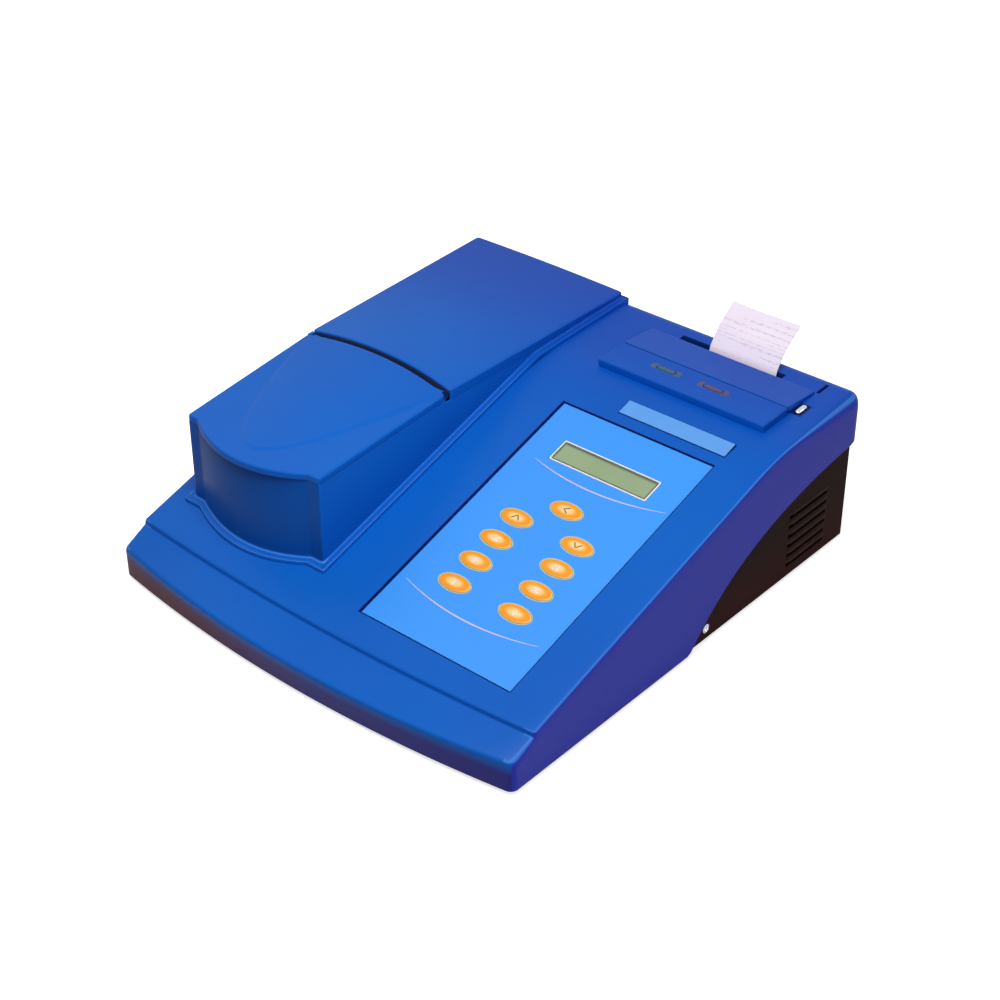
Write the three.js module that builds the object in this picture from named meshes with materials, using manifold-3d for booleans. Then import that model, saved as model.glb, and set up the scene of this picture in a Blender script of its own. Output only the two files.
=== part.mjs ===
// A bench-top digital turbidity meter: a blue wedge-shaped case with a lidded sample tunnel on the left,
// a keypad panel on the right and a strip printer behind it, standing on a black steel chassis.
// Millimetres, X to the right, Y to the back, Z up. While it is built, the case is centred on x = 0,
// the mid-depth of the case is y = 0 and the underside of the chassis is z = 0.
import * as THREE from 'three';
import { mergeVertices } from 'three/addons/utils/BufferGeometryUtils.js';
import Module from 'manifold-3d';

const wasm = await Module();
wasm.setup();

// Fits shared by all pieces
const seatGap = 0.3;
const runGap = 0.35;
const overrun = 5;
const weldReach = 0.0001;

// Case: the blue cover
const caseWidth = 323;
const caseDepth = 339.6;
const wall = 2.5;
const deckWall = 4;
const lipHeight = 20;
const lipBow = 16.5;
const baseBow = 13.5;
const stepBow = 6;
const stepSetback = 18.5;
const stepRise = 3;
const deckFootHeight = 31.4;
const deckAngle = 17.31;
const crestInset = 94.8;
const roofAngle = 2.5;
const bowFade = 60;
const rearCorner = 8;
const skirtSetback = 163.8;
const skirtEndDrop = 30.6;
const skirtRise = 38;
const skirtRun = 31;
const skirtFlatRun = 94.8;
const skirtFlatDrop = 7.3;

// Chassis
const sheet = 1.5;
const chassisRearInset = 6;
const wingLap = 14;
const wingSetback = 109.8;
const rimDrop = 6;
const ventCount = 6;
const ventLength = 42;
const ventHeight = 3.6;
const ventPitch = 7.2;
const ventInset = 70.8;
const ventFirstZ = 7;
const footRadius = 9;
const footTaper = 1.5;
const footHeight = 3.3;
const footInsetX = 24;
const footInsetY = 30;
const sideScrewSetback = 18.4;
const sideScrewZ = 8.8;
const sideScrewRadius = 3.1;
const sideScrewHead = 1.5;
const sideScrewShank = 1.6;
const sideScrewLength = 6;

// Sample housing, the walled tunnel on the left of the deck
const housingRightX = -29.5;
const housingSetback = 28.8;
const housingFrontInset = 17.5;
const housingSideInset = 1.5;
const housingRearInset = 1.2;
const housingBulge = 11.5;
const shoulder = 9.5;
const flangeWidth = 5;
const flangeHeight = 2.6;
const tunnelRise = 9.6;
const crown = 3.5;
const rearCrown = 0.8;
const tunnelEdgeDrop = 1.2;

// Lid on the tunnel, and its hinge
const lidFall = 8.4;
const lidRearDrop = 0.9;
const lidEdge = 4;
const lidSkin = 2.5;
const lidBulge = 15;
const lidCreaseSetback = 13;
const grooveWidth = 4.2;
const grooveInset = 178.55;
const grooveBow = 5;
const grooveDepth = 6;
const webDepth = 14;
const webThickness = 5;
const knuckleRadius = 1.7;
const knuckleLength = 5;
const knuckleInset = 4;
const pinRadius = 0.9;
const lidGasketInset = 6;
const lidGasketWidth = 3;
const lidGasketDepth = 4;

// Keypad panel, measured on the deck: x across and t up the slope from the step line
const panelSideInset = 30.8;
const panelWidth = 115;
const panelStartT = 15.6;
const panelEndMargin = 24.9;
const panelRecess = 1.8;
const panelGap = 0.4;
const overlayThickness = 0.7;
const keyColumnInset = 34.8;
const keyColumnPitch = 46.9;
const keyTopShare = 0.532;
const keyPitchShare = 0.1001;
const keyRows = 4;
const keyHalfLength = 11.3;
const keyRowGap = 8.28;
const keyProud = 0.9;
const keyDome = 0.5;
const keyTravel = 0.6;
const keyFlange = 1.2;
const keyFlangeThickness = 0.9;
const keyBoardWidth = 84;
const keyBoardMargin = 9;
const keyBoardThickness = 1.6;
const keyBoardPost = 2.5;

// Display
const windowInset = 21;
const windowWidth = 74.4;
const displayKeyGap = 23.65;
const windowLength = 17.4;
const bezelWidth = 1.7;
const bezelProud = 0.3;
const glassSink = 0.2;
const glassThickness = 0.6;
const displayLedge = 3;
const displayBack = 8;
const displayMargin = 5;

// Bare name strip above the panel
const stripSideInset = 29;
const stripWidth = 80.5;
const stripCrestGap = 15.24;
const stripLength = 11.6;
const stripRecess = 0.5;
const stripThickness = 0.6;

// Printer behind the crest of the deck: a raised strip with two buttons, and a door sloping down behind it
const printerLeftInset = 151;
const printerRightInset = 22.5;
const printerFlatInset = 51.8;
const printerRearInset = 21.2;
const printerRise = 5;
const printerRearRise = 1.3;
const printerSkin = 1.9;
const printerRim = 3;
const doorGap = 0.45;
const doorChamfer = 0.5;
const doorAxisSetback = 2.4;
const doorAxisDrop = 1.7;
const doorRailDrop = 3.5;
const doorRailReach = 5;
const doorPinRadius = 0.7;
const doorPinLength = 9;
const doorEarRadius = 1.3;
const doorEarLength = 3.5;
const doorEarInset = 12;
const buttonHalfLength = 6.8;
const buttonRadius = 1.7;
const buttonLeftInset = 43;
const buttonRightInset = 79.5;
const buttonFlatGap = 11;
const buttonProud = 0.6;
const buttonFlange = 0.9;
const buttonFlangeThickness = 0.8;
const latchGap = 3.4;
const latchSetback = 9;
const latchHalfLength = 5.2;
const latchRadius = 2;
const latchProud = 1.2;
const latchFlange = 1.2;
const latchFlangeThickness = 1.2;
const latchPocketMargin = 1.6;
const latchPocketDepth = 0.8;
const slotLeftMargin = 22.6;
const slotRightMargin = 5.4;
const slotGap = 1.6;
const slotDepth = 5;

// Printer works and paper
const paperOffset = 5.85;
const paperWidth = 52;
const paperThickness = 0.3;
const paperBendDrop = 3;
const paperBend = 7;
const paperLean = 55;
const paperClear = 7;
const paperTopLean = 36;
const paperTop = 17.4;
const bayMargin = 14;
const bayFrontGap = 5;
const bayRearGap = 9.1;
const bayPlay = 4.9;
const tubWall = 2;
const tubFlange = 3;
const tubMouth = 8;
const bearingWidth = 4;
const rollRadius = 15;
const rollDrop = 21;
const rollRoom = 2;
const spindleRadius = 4;
const platenRadius = 5.4;
const platenShaftRadius = 1.5;
const platenSetback = 7;
const platenDrop = 22;
const headGap = 0.6;
const headDepth = 6.5;
const headHeight = 17;
const cheekThickness = 2.7;
const cheekBelow = 9;
const cheekTopGap = 4;

// Optical bench under the lid
const lampSideGap = 12.7;
const wellAlongShare = 0.4615;
const wellRadius = 14.9;
const wellFloor = 18;
const holderHalf = 21;
const holderFoot = 7;
const holderFootThickness = 4;
const plateDrop = 24.2;
const plateThickness = 5;
const plateGrooveGap = 5.25;
const plateBack = 2;
const wellChamfer = 1.2;
const beamZ = 40;
const portRadius = 4;
const bulbLensGap = 3.9;
const lampHalf = 11;
const lampBore = 6.8;
const lampBack = 4;
const bulbRadius = 3.6;
const bulbNeck = 7;
const lampBaseRadius = 4.6;
const lampBaseLength = 8;
const lensThickness = 3.2;
const detectorLength = 13;
const detectorHalf = 9;
const noseClearance = 0.6;
const detectorNose = 3.5;

// Electronics
const boardSideInset = 53.5;
const boardHolderGap = 46;
const boardRearInset = 129.8;
const boardLength = 110;
const boardZ = 12;
const boardThickness = 1.6;
const standoffRadius = 3;
const standoffInset = 6;
const chipSide = 18;
const chipHeight = 3;
const coreSideInset = 121.5;
const coilFuseGap = 2.8;
const coreWidth = 52;
const coreDepth = 22;
const coreHeight = 42;
const coreLeg = 9;
const coilReach = 8;

// Rear panel
const panelZ = 28;
const inletSideInset = 39.5;
const inletWidth = 30;
const inletHeight = 24;
const inletFlange = 2.2;
const inletFlangeMargin = 2;
const inletPocketWidth = 24;
const inletPocketHeight = 16;
const inletPocketDepth = 15;
const inletBodyDepth = 19;
const bladeWidth = 2;
const bladeHeight = 4.5;
const bladeLength = 11;
const bladeSpread = 7;
const bladeRise = 2.5;
const switchGap = 38;
const switchWidth = 15;
const switchHeight = 22;
const switchFlange = 1.6;
const switchFlangeMargin = 1.5;
const switchBodyDepth = 16;
const rockerWidth = 10;
const rockerHeight = 17;
const rockerThickness = 5;
const rockerTilt = 8;
const rockerProud = 1.3;
const rockerPinRadius = 1.2;
const rockerPinReach = 1.2;
const fuseGap = 24;
const fuseBodyRadius = 6.4;
const fuseFlangeRadius = 8;
const fuseFlange = 1.2;
const fuseBodyDepth = 14;
const fuseNeckRadius = 4.2;
const fuseNeckLength = 10;
const fuseCapRadius = 6;
const fuseCapLength = 3.6;
const fuseSlotWidth = 1.4;
const fuseSlotDepth = 1.2;
const portX = -20;
const portWidth = 31;
const portHeight = 12.5;
const portFlange = 1;
const portShellWidth = 17;
const portShellHeight = 8.4;
const portShell = 4;
const portBodyDepth = 7;

// Derived places
const halfWidth = caseWidth / 2;
const frontY = -caseDepth / 2;
const rearY = caseDepth / 2;
const stepY = frontY + stepSetback;
const deckTilt = THREE.MathUtils.degToRad(deckAngle);
const roofTilt = THREE.MathUtils.degToRad(roofAngle);
const deckSlope = Math.tan(deckTilt);
const roofSlope = Math.tan(roofTilt);
const chassisRear = rearY - chassisRearInset;
const crestY = rearY - crestInset;
const skirtStartY = frontY + skirtSetback;
const wingStartY = frontY + wingSetback;
const ventFirstY = rearY - ventInset;
const sideScrewY = skirtStartY + sideScrewSetback;
const housingFrontY = stepY + housingSetback;
const housingFrontLeftX = housingFrontInset - halfWidth;
const housingRearLeftX = housingSideInset - halfWidth;
const grooveY = rearY - grooveInset;
const panelLeftX = halfWidth - panelSideInset - panelWidth;
const deckLength = (crestY - stepY) / Math.cos(deckTilt);
const panelLength = deckLength - panelStartT - panelEndMargin;
const keyLeftX = panelLeftX + keyColumnInset;
const keyRightX = keyLeftX + keyColumnPitch;
const keyTopT = panelStartT + panelLength * keyTopShare;
const keyPitch = panelLength * keyPitchShare;
const keyHalfHeight = (keyPitch - keyRowGap) / 2;
const windowLeftX = panelLeftX + windowInset;
const windowStartT = keyTopT + keyPitch + keyHalfHeight + displayKeyGap;
const stripLeftX = halfWidth - stripSideInset - stripWidth;
const stripStartT = deckLength - stripCrestGap;
const printerLeftX = halfWidth - printerLeftInset;
const printerRightX = halfWidth - printerRightInset;
const printerFlatY = rearY - printerFlatInset;
const printerRearY = rearY - printerRearInset;
const buttonLeftX = printerLeftX + buttonLeftInset;
const buttonRightX = printerLeftX + buttonRightInset;
const buttonY = printerFlatY - buttonFlatGap;
const latchX = printerRightX + latchGap;
const latchY = printerFlatY + latchSetback;
const slotY = printerRearY + slotGap;
const bulbReach = lampBaseLength - lampBack / 2 + seatGap + bulbNeck + bulbRadius;
const lampLength = bulbReach + bulbLensGap + lensThickness;
const detectorNoseRadius = portRadius - noseClearance;
const wellX = housingFrontLeftX + lampSideGap + lampLength + seatGap + holderHalf;
const wellY = mix(housingFrontY, grooveY, wellAlongShare);
const plateRearY = grooveY - plateGrooveGap;
const boardLeftX = wellX + holderHalf + holderFoot + boardHolderGap;
const boardWidth = halfWidth - boardSideInset - boardLeftX;
const boardFrontY = rearY - boardRearInset - boardLength;
const coreX = halfWidth - coreSideInset;
const paperLeftX = (printerLeftX + printerRightX - paperWidth) / 2 + paperOffset;
const slotLeftX = paperLeftX - slotLeftMargin;
const slotWidth = slotLeftMargin + paperWidth + slotRightMargin;
const bayRearY = printerRearY - bayRearGap;
const bayFrontY = bayRearY - bayPlay - (rollRadius + rollRoom + tubWall + seatGap) * 2;
const printerFrontY = bayFrontY - bayFrontGap;
const cheekRise = platenDrop - deckWall - cheekTopGap;
const paperRise = platenDrop - paperBendDrop;
const coreRearGap = fuseBodyDepth + coilReach + coilFuseGap;
const coreY = chassisRear - coreRearGap - coreDepth / 2;
const inletX = halfWidth - inletSideInset;
const switchX = inletX - switchGap;
const fuseX = switchX - fuseGap;
const rimHeight = lipHeight - rimDrop;
const crestZ = deckFootHeight + (crestY - stepY) * deckSlope;
const skirtEndHeight = crestZ - skirtEndDrop;
const tunnelTop = crestZ + tunnelRise;
const lidRearTop = tunnelTop - lidRearDrop;
const lidFrontTop = lidRearTop - lidFall;
const plateTop = lidFrontTop - plateDrop;
const chassisHalf = halfWidth - wall - seatGap;
const lidSlope = (lidRearTop - lidFrontTop) / (grooveY - grooveWidth / 2 - housingFrontY);
const hingeY = grooveY;
const hingeZ = lidRearTop - seatGap / 2 - knuckleRadius;
const openingRearY = grooveY + webDepth + overrun;
const housingRearY = rearY - housingRearInset;
const bayLeftX = paperLeftX - bayMargin;
const bayRightX = paperLeftX + paperWidth + bayMargin;

// Finishes
const looks = {
  blueCase: { color: 0x1d50b8, roughness: 0.38, metalness: 0 },
  blackSteel: { color: 0x1b1716, roughness: 0.5, metalness: 0.25 },
  blackPlastic: { color: 0x17181a, roughness: 0.55, metalness: 0 },
  overlayBlue: { color: 0x3f98fb, roughness: 0.4, metalness: 0 },
  stripBlue: { color: 0x6cb0fa, roughness: 0.4, metalness: 0 },
  orangeKey: { color: 0xf0a24a, roughness: 0.45, metalness: 0 },
  whitePlastic: { color: 0xe9edf2, roughness: 0.4, metalness: 0 },
  displayGreen: { color: 0x8d9c7c, roughness: 0.2, metalness: 0 },
  paper: { color: 0xf3ecf3, roughness: 0.9, metalness: 0 },
  chrome: { color: 0xd5dae0, roughness: 0.15, metalness: 1 },
  steel: { color: 0xb2b5b8, roughness: 0.35, metalness: 0.9 },
  aluminium: { color: 0xb9bdc2, roughness: 0.4, metalness: 0.85 },
  rubber: { color: 0x141414, roughness: 0.85, metalness: 0 },
  board: { color: 0x1f6b3a, roughness: 0.5, metalness: 0 },
  glass: { color: 0xdfe8ee, roughness: 0.08, metalness: 0 },
  copper: { color: 0xb0703c, roughness: 0.45, metalness: 0.6 },
};

const model = new THREE.Group();
const assembly = new THREE.Group();
model.add(assembly);

// A closed geometry as a solid, and a solid as a geometry
function toSolid(geometry) {
  const bare = geometry.index ? geometry.toNonIndexed() : geometry.clone();
  bare.deleteAttribute('normal');
  bare.deleteAttribute('uv');
  const welded = mergeVertices(bare, weldReach);
  const vertProperties = Float32Array.from(welded.attributes.position.array);
  const triVerts = Uint32Array.from(welded.index.array);
  return new wasm.Manifold(new wasm.Mesh({ numProp: 3, vertProperties, triVerts }));
}

function toGeometry(solid) {
  const mesh = solid.getMesh();
  const geometry = new THREE.BufferGeometry();
  geometry.setAttribute('position', new THREE.BufferAttribute(mesh.vertProperties, 3));
  geometry.setIndex(new THREE.BufferAttribute(mesh.triVerts, 1));
  geometry.computeVertexNormals();
  return geometry;
}

function place(name, solid, look) {
  const material = new THREE.MeshStandardMaterial(looks[look]);
  const mesh = new THREE.Mesh(toGeometry(solid), material);
  mesh.name = name;
  assembly.add(mesh);
}

// Box between two corners
function box(x0, x1, y0, y1, z0, z1) {
  const geometry = new THREE.BoxGeometry(x1 - x0, y1 - y0, z1 - z0);
  geometry.translate((x0 + x1) / 2, (y0 + y1) / 2, (z0 + z1) / 2);
  return toSolid(geometry);
}

function outlineShape(points) {
  return new THREE.Shape(points.map(([a, b]) => new THREE.Vector2(a, b)));
}

// Outline in x and y, raised from low to high
function alongZ(points, low, high) {
  const geometry = new THREE.ExtrudeGeometry(
    outlineShape(points),
    { depth: high - low, bevelEnabled: false },
  );
  geometry.translate(0, 0, low);
  return toSolid(geometry);
}

// Outline in y and z, carried across from low to high; bend moves each of its points
function alongX(points, low, high, steps = 1, bend = null) {
  const options = { depth: high - low, steps, bevelEnabled: false };
  const geometry = new THREE.ExtrudeGeometry(outlineShape(points), options);
  const turn = new THREE.Matrix4().makeBasis(
    new THREE.Vector3(0, 1, 0),
    new THREE.Vector3(0, 0, 1),
    new THREE.Vector3(1, 0, 0),
  );
  geometry.applyMatrix4(turn);
  geometry.translate(low, 0, 0);
  if (bend) movePoints(geometry, bend);
  return toSolid(geometry);
}

function movePoints(geometry, move) {
  const points = geometry.attributes.position;
  for (let i = 0; i < points.count; i += 1) {
    const [x, y, z] = move(points.getX(i), points.getY(i), points.getZ(i));
    points.setXYZ(i, x, y, z);
  }
}

// Unit box whose points are placed by their shares across, back and up
function warpedBox(columns, rows, at) {
  const geometry = new THREE.BoxGeometry(1, 1, 1, columns, rows, 1);
  movePoints(geometry, (x, y, z) => at(x + 1 / 2, y + 1 / 2, z + 1 / 2));
  return toSolid(geometry);
}

// Round bar between two values on one axis
function bar(axis, radius, low, high, a, b, sides = 24) {
  const geometry = new THREE.CylinderGeometry(radius, radius, high - low, sides);
  const middle = (low + high) / 2;
  if (axis === 'x') {
    geometry.rotateZ(-Math.PI / 2);
    geometry.translate(middle, a, b);
  }
  if (axis === 'y') geometry.translate(a, middle, b);
  if (axis === 'z') {
    geometry.rotateX(Math.PI / 2);
    geometry.translate(a, b, middle);
  }
  return toSolid(geometry);
}

function mix(a, b, share) {
  return a + (b - a) * share;
}

function clampShare(value) {
  return Math.min(1, Math.max(0, value));
}

// Height of the outer skin of deck and roof at a depth y
function skinZ(y) {
  if (y < crestY) return deckFootHeight + (y - stepY) * deckSlope;
  return crestZ + (y - crestY) * roofSlope;
}

// Turns a solid drawn flat, with x across, t up the slope and n out of the deck, onto the deck
function onDeck(solid) {
  return solid.rotate([deckAngle, 0, 0]).translate([0, stepY, deckFootHeight]);
}

function onRoof(solid) {
  return solid.rotate([roofAngle, 0, 0]).translate([0, crestY, crestZ]);
}

function roofShare(y) {
  return (y - crestY) / Math.cos(roofTilt);
}

function oval(halfLength, halfHeight, low, high, x, y, sides = 20) {
  const geometry = new THREE.CylinderGeometry(1, 1, high - low, sides);
  geometry.rotateX(Math.PI / 2);
  geometry.scale(halfLength, halfHeight, 1);
  geometry.translate(x, y, (low + high) / 2);
  return toSolid(geometry);
}

// Bar with round ends, lying along X or Y
function pill(halfLength, radius, low, high, x, y, lengthwise = false) {
  const straight = halfLength - radius;
  const middle = lengthwise
    ? box(x - radius, x + radius, y - straight, y + straight, low, high)
    : box(x - straight, x + straight, y - radius, y + radius, low, high);
  const dx = lengthwise ? 0 : straight;
  const dy = lengthwise ? straight : 0;
  const one = bar('z', radius, low, high, x - dx, y - dy, 16);
  const other = bar('z', radius, low, high, x + dx, y + dy, 16);
  return middle.add(one).add(other);
}

// The front edge of the case bows out in plan: most at the lip, less at its base and at the step
function bowCase(x, y, z) {
  const fullness = 1 - (x / halfWidth) ** 2;
  const back = clampShare((y - frontY) / stepSetback);
  const edge = mix(baseBow, lipBow, clampShare(z / lipHeight));
  const fade = 1 - clampShare((y - stepY) / bowFade);
  const reach = fullness * mix(edge, stepBow, back) * fade;
  const low = clampShare(z / (deckFootHeight - stepRise));
  return [x, y - reach, z - reach * deckSlope * back * low];
}

function skirtLine(lift) {
  const start = new THREE.Vector2(skirtStartY, lift);
  const first = new THREE.Vector2(skirtStartY + skirtRun, skirtRise + lift);
  const second = new THREE.Vector2(rearY - skirtFlatRun, skirtEndHeight - skirtFlatDrop + lift);
  const end = new THREE.Vector2(rearY, skirtEndHeight + lift);
  return new THREE.CubicBezierCurve(start, first, second, end).getPoints(12).map((p) => [p.x, p.y]);
}

// Everything between two depths
function caseSlice(y0, y1) {
  return box(-halfWidth - overrun, halfWidth + overrun, y0, y1, -overrun, tunnelTop + crown + overrun);
}

function makeCover() {
  const lipFoot = [stepY - seatGap, deckFootHeight - stepRise];
  const outer = alongX([
    [frontY, 0],
    [frontY, lipHeight],
    lipFoot,
    [stepY, deckFootHeight],
    [crestY, crestZ],
    [rearY, skinZ(rearY)],
    [rearY, 0],
  ], -halfWidth, halfWidth, 16, bowCase);
  const innerStep = stepY + wall;
  const inner = alongX([
    [frontY + wall, -overrun],
    [frontY + wall, lipHeight - deckWall],
    [innerStep, skinZ(innerStep) - deckWall],
    [crestY, crestZ - deckWall],
    [rearY - wall, skinZ(rearY - wall) - deckWall],
    [rearY - wall, -overrun],
  ], -halfWidth + wall, halfWidth - wall, 16, bowCase);
  const corner = new THREE.Shape();
  corner.moveTo(-halfWidth - overrun, frontY - lipBow - overrun);
  corner.lineTo(halfWidth + overrun, frontY - lipBow - overrun);
  corner.lineTo(halfWidth + overrun, rearY - rearCorner - overrun);
  corner.lineTo(halfWidth, rearY - rearCorner - overrun);
  corner.lineTo(halfWidth, rearY - rearCorner);
  corner.absarc(halfWidth - rearCorner, rearY - rearCorner, rearCorner, 0, Math.PI / 2, false);
  corner.absarc(-halfWidth + rearCorner, rearY - rearCorner, rearCorner, Math.PI / 2, Math.PI, false);
  corner.lineTo(-halfWidth, rearY - rearCorner - overrun);
  corner.lineTo(-halfWidth - overrun, rearY - rearCorner - overrun);
  const rounding = new THREE.ExtrudeGeometry(corner, {
    depth: tunnelTop + overrun,
    curveSegments: 5,
    bevelEnabled: false,
  });
  rounding.translate(0, 0, -overrun);
  const under = [...skirtLine(0), [rearY + overrun, skirtEndHeight]];
  const skirtCut = alongX(
    [[skirtStartY, -overrun], ...under, [rearY + overrun, -overrun]],
    -halfWidth - overrun,
    halfWidth + overrun,
  );
  let cover = outer.intersect(toSolid(rounding)).subtract(inner).subtract(skirtCut);
  const opening = alongZ(housingOutline(-wall, housingBulge), lipHeight, tunnelTop + overrun);
  cover = cover.subtract(opening.intersect(caseSlice(frontY - lipBow, openingRearY)));
  cover = cover.subtract(onDeck(panelCuts()));
  cover = cover.subtract(onRoof(printerCuts()));
  place('top_cover', cover, 'blueCase');
}

function panelCuts() {
  const recessLeft = panelLeftX - panelGap;
  const recessRight = panelLeftX + panelWidth + panelGap;
  let cuts = box(
    recessLeft,
    recessRight,
    panelStartT - panelGap,
    panelStartT + panelLength + panelGap,
    -panelRecess,
    overrun,
  );
  for (const [x, t] of keyPlaces()) {
    const across = keyHalfLength + runGap;
    cuts = cuts.add(oval(across, keyHalfHeight + runGap, -deckWall - overrun, 0, x, t));
  }
  cuts = cuts.add(box(
    windowLeftX + displayLedge,
    windowLeftX + windowWidth - displayLedge,
    windowStartT + displayLedge,
    windowStartT + windowLength - displayLedge,
    -deckWall - overrun,
    0,
  ));
  return cuts.add(box(
    stripLeftX - seatGap,
    stripLeftX + stripWidth + seatGap,
    stripStartT - seatGap,
    stripStartT + stripLength + seatGap,
    -stripRecess,
    overrun,
  ));
}

function printerCuts() {
  const bay = box(
    bayLeftX,
    bayRightX,
    roofShare(bayFrontY),
    roofShare(bayRearY),
    -deckWall - overrun,
    overrun,
  );
  const slotStart = roofShare(slotY);
  const slot = box(
    slotLeftX,
    slotLeftX + slotWidth,
    slotStart,
    slotStart + slotDepth,
    -deckWall - overrun,
    overrun,
  );
  const latchS = roofShare(latchY);
  const pocketRadius = latchRadius + latchPocketMargin;
  const pocketHalf = latchHalfLength + latchPocketMargin;
  const pocket = pill(pocketHalf, pocketRadius, -latchPocketDepth, overrun, latchX, latchS, true);
  const holeHalf = latchHalfLength + runGap;
  const hole = pill(holeHalf, latchRadius + runGap, -deckWall - overrun, overrun, latchX, latchS, true);
  return bay.add(slot).add(pocket).add(hole);
}

// Plan of the tunnel: straight right wall, flared left wall, and a front that bulges between two shoulders
function housingOutline(grow, bulge) {
  const right = housingRightX + grow;
  const frontLeft = housingFrontLeftX - grow;
  const rearLeft = housingRearLeftX - grow;
  const front = housingFrontY - grow;
  const rear = housingRearY + Math.min(grow, 0);
  return [
    ...frontEdge(right, frontLeft, front, bulge),
    [frontLeft, front],
    [rearLeft, rear],
    [right, rear],
  ];
}

function frontEdge(right, left, front, bulge) {
  const points = [[right, front]];
  const middle = (right + left) / 2;
  const half = (right - left) / 2 - shoulder;
  const count = 14;
  for (let i = 0; i <= count; i += 1) {
    const share = 1 - (2 * i) / count;
    points.push([middle + half * share, front - bulge * (1 - share ** 2)]);
  }
  return points;
}

function tunnelLeftX(y) {
  const share = (y - housingFrontY) / (housingRearY - housingFrontY);
  return mix(housingFrontLeftX, housingRearLeftX, share);
}

function tunnelShare(x, y) {
  const left = tunnelLeftX(y);
  const middle = (left + housingRightX) / 2;
  return (x - middle) / ((housingRightX - left) / 2);
}

// Line of the groove between lid and tunnel, bowed to the back in plan
function grooveLine(x, offset) {
  return grooveY + offset + grooveBow * (1 - Math.min(1, Math.abs(tunnelShare(x, grooveY))) ** 2);
}

function lidPlane(y) {
  return lidFrontTop + (y - housingFrontY) * lidSlope;
}

// Lid top: a plane, with a shallow vault behind a curved crease that widens from the front to the groove
function lidTop(x, y) {
  const apex = housingFrontY - lidBulge + lidCreaseSetback;
  const along = clampShare((y - apex) / (grooveY - apex));
  return lidPlane(y) + crown * Math.max(0, along - tunnelShare(x, y) ** 2);
}

function tunnelRoof(x, y) {
  const back = clampShare((y - grooveY) / (housingRearY - grooveY));
  const height = mix(crown, rearCrown, back);
  return tunnelTop + height * Math.max(0, 1 - tunnelShare(x, y) ** 2);
}

// Walls round the sample compartment, the closed block behind the groove, and the flange on the deck
function makeHousing() {
  const sideReach = halfWidth + overrun;
  const seat = (y) => skinZ(y) + seatGap;
  const wallTop = (y) => lidPlane(y) - lidEdge - seatGap;
  const grooveFront = grooveY - grooveWidth / 2;
  const grooveFloor = lidRearTop - grooveDepth;
  const behind = grooveY + webDepth;
  const outer = alongZ(housingOutline(0, housingBulge), 0, tunnelTop + crown + overrun);
  const lower = outer.intersect(alongX([
    [frontY, seat(frontY)],
    [crestY, seat(crestY)],
    [rearY, seat(rearY)],
    [rearY, seat(rearY) + wall],
    [crestY, seat(crestY) + wall],
    [behind, grooveFloor],
    [grooveFront - grooveWidth, grooveFloor],
    [grooveFront - grooveWidth, wallTop(grooveFront - grooveWidth)],
    [frontY, wallTop(frontY)],
  ], -sideReach, sideReach));
  const upper = warpedBox(16, 8, (u, v, w) => tunnelPoint(u, v, w, seatGap, 0));
  const cavityFront = alongZ(housingOutline(-wall, housingBulge), 0, tunnelTop + overrun);
  const frontRoom = cavityFront.intersect(
    box(-sideReach, sideReach, frontY, grooveFront - webThickness, 0, tunnelTop + overrun),
  );
  const underWeb = cavityFront.intersect(
    box(-sideReach, sideReach, frontY, grooveY + webDepth + overrun, 0, grooveFloor - webThickness),
  );
  const rearRoom = warpedBox(16, 8, (u, v, w) => tunnelPoint(u, v, w, -overrun, wall));
  const flange = alongZ(housingOutline(flangeWidth, housingBulge), 0, tunnelTop).intersect(alongX([
    [frontY, seat(frontY)],
    [crestY, seat(crestY)],
    [rearY, seat(rearY)],
    [rearY, seat(rearY) + flangeHeight],
    [crestY, seat(crestY) + flangeHeight],
    [frontY, seat(frontY) + flangeHeight],
  ], -halfWidth + seatGap, sideReach));
  let housing = lower.add(upper).add(flange);
  housing = housing.subtract(frontRoom).subtract(underWeb).subtract(rearRoom).subtract(belowSkin());
  for (const side of [-1, 1]) housing = housing.add(housingKnuckle(side, grooveFloor));
  for (const side of [-1, 1]) housing = housing.subtract(hingeBore(side));
  place('sample_housing', housing, 'blueCase');
}

// Everything below the seat of the housing on deck and roof
function belowSkin() {
  const top = (y) => [y, skinZ(y) + seatGap];
  const ends = [top(rearY + overrun), top(crestY), top(frontY - lipBow)];
  return alongX([[frontY - lipBow, 0], [rearY + overrun, 0], ...ends], -halfWidth - overrun, halfWidth);
}

// Point of the rear tunnel block, or of the room inside it when inset is a wall
function tunnelPoint(u, v, w, lift, inset) {
  const shareLine = mix(housingFrontLeftX, housingRightX, u);
  const start = grooveLine(shareLine, grooveWidth / 2) + inset;
  const y = mix(start, housingRearY - inset, v);
  const left = tunnelLeftX(y) + inset;
  const x = mix(left, housingRightX - inset, u);
  if (w < 1 / 2) return [x, y, skinZ(y) + lift];
  const edge = Math.max(0, 1 - (y - start) / wall);
  return [x, y, tunnelRoof(x, y) - inset - tunnelEdgeDrop * edge];
}

function knuckleSpan(side, order) {
  const edge = side > 0 ? housingRightX : tunnelLeftX(grooveY);
  const start = edge - side * (knuckleInset + order * (knuckleLength + runGap));
  const end = start - side * knuckleLength;
  return [Math.min(start, end), Math.max(start, end)];
}

function housingKnuckle(side, floor) {
  const [low, high] = knuckleSpan(side, 0);
  const round = bar('x', knuckleRadius, low, high, hingeY, hingeZ, 20);
  const post = box(
    low,
    high,
    hingeY - knuckleRadius,
    hingeY + knuckleRadius,
    floor - webThickness / 2,
    hingeZ,
  );
  return round.add(post);
}

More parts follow.
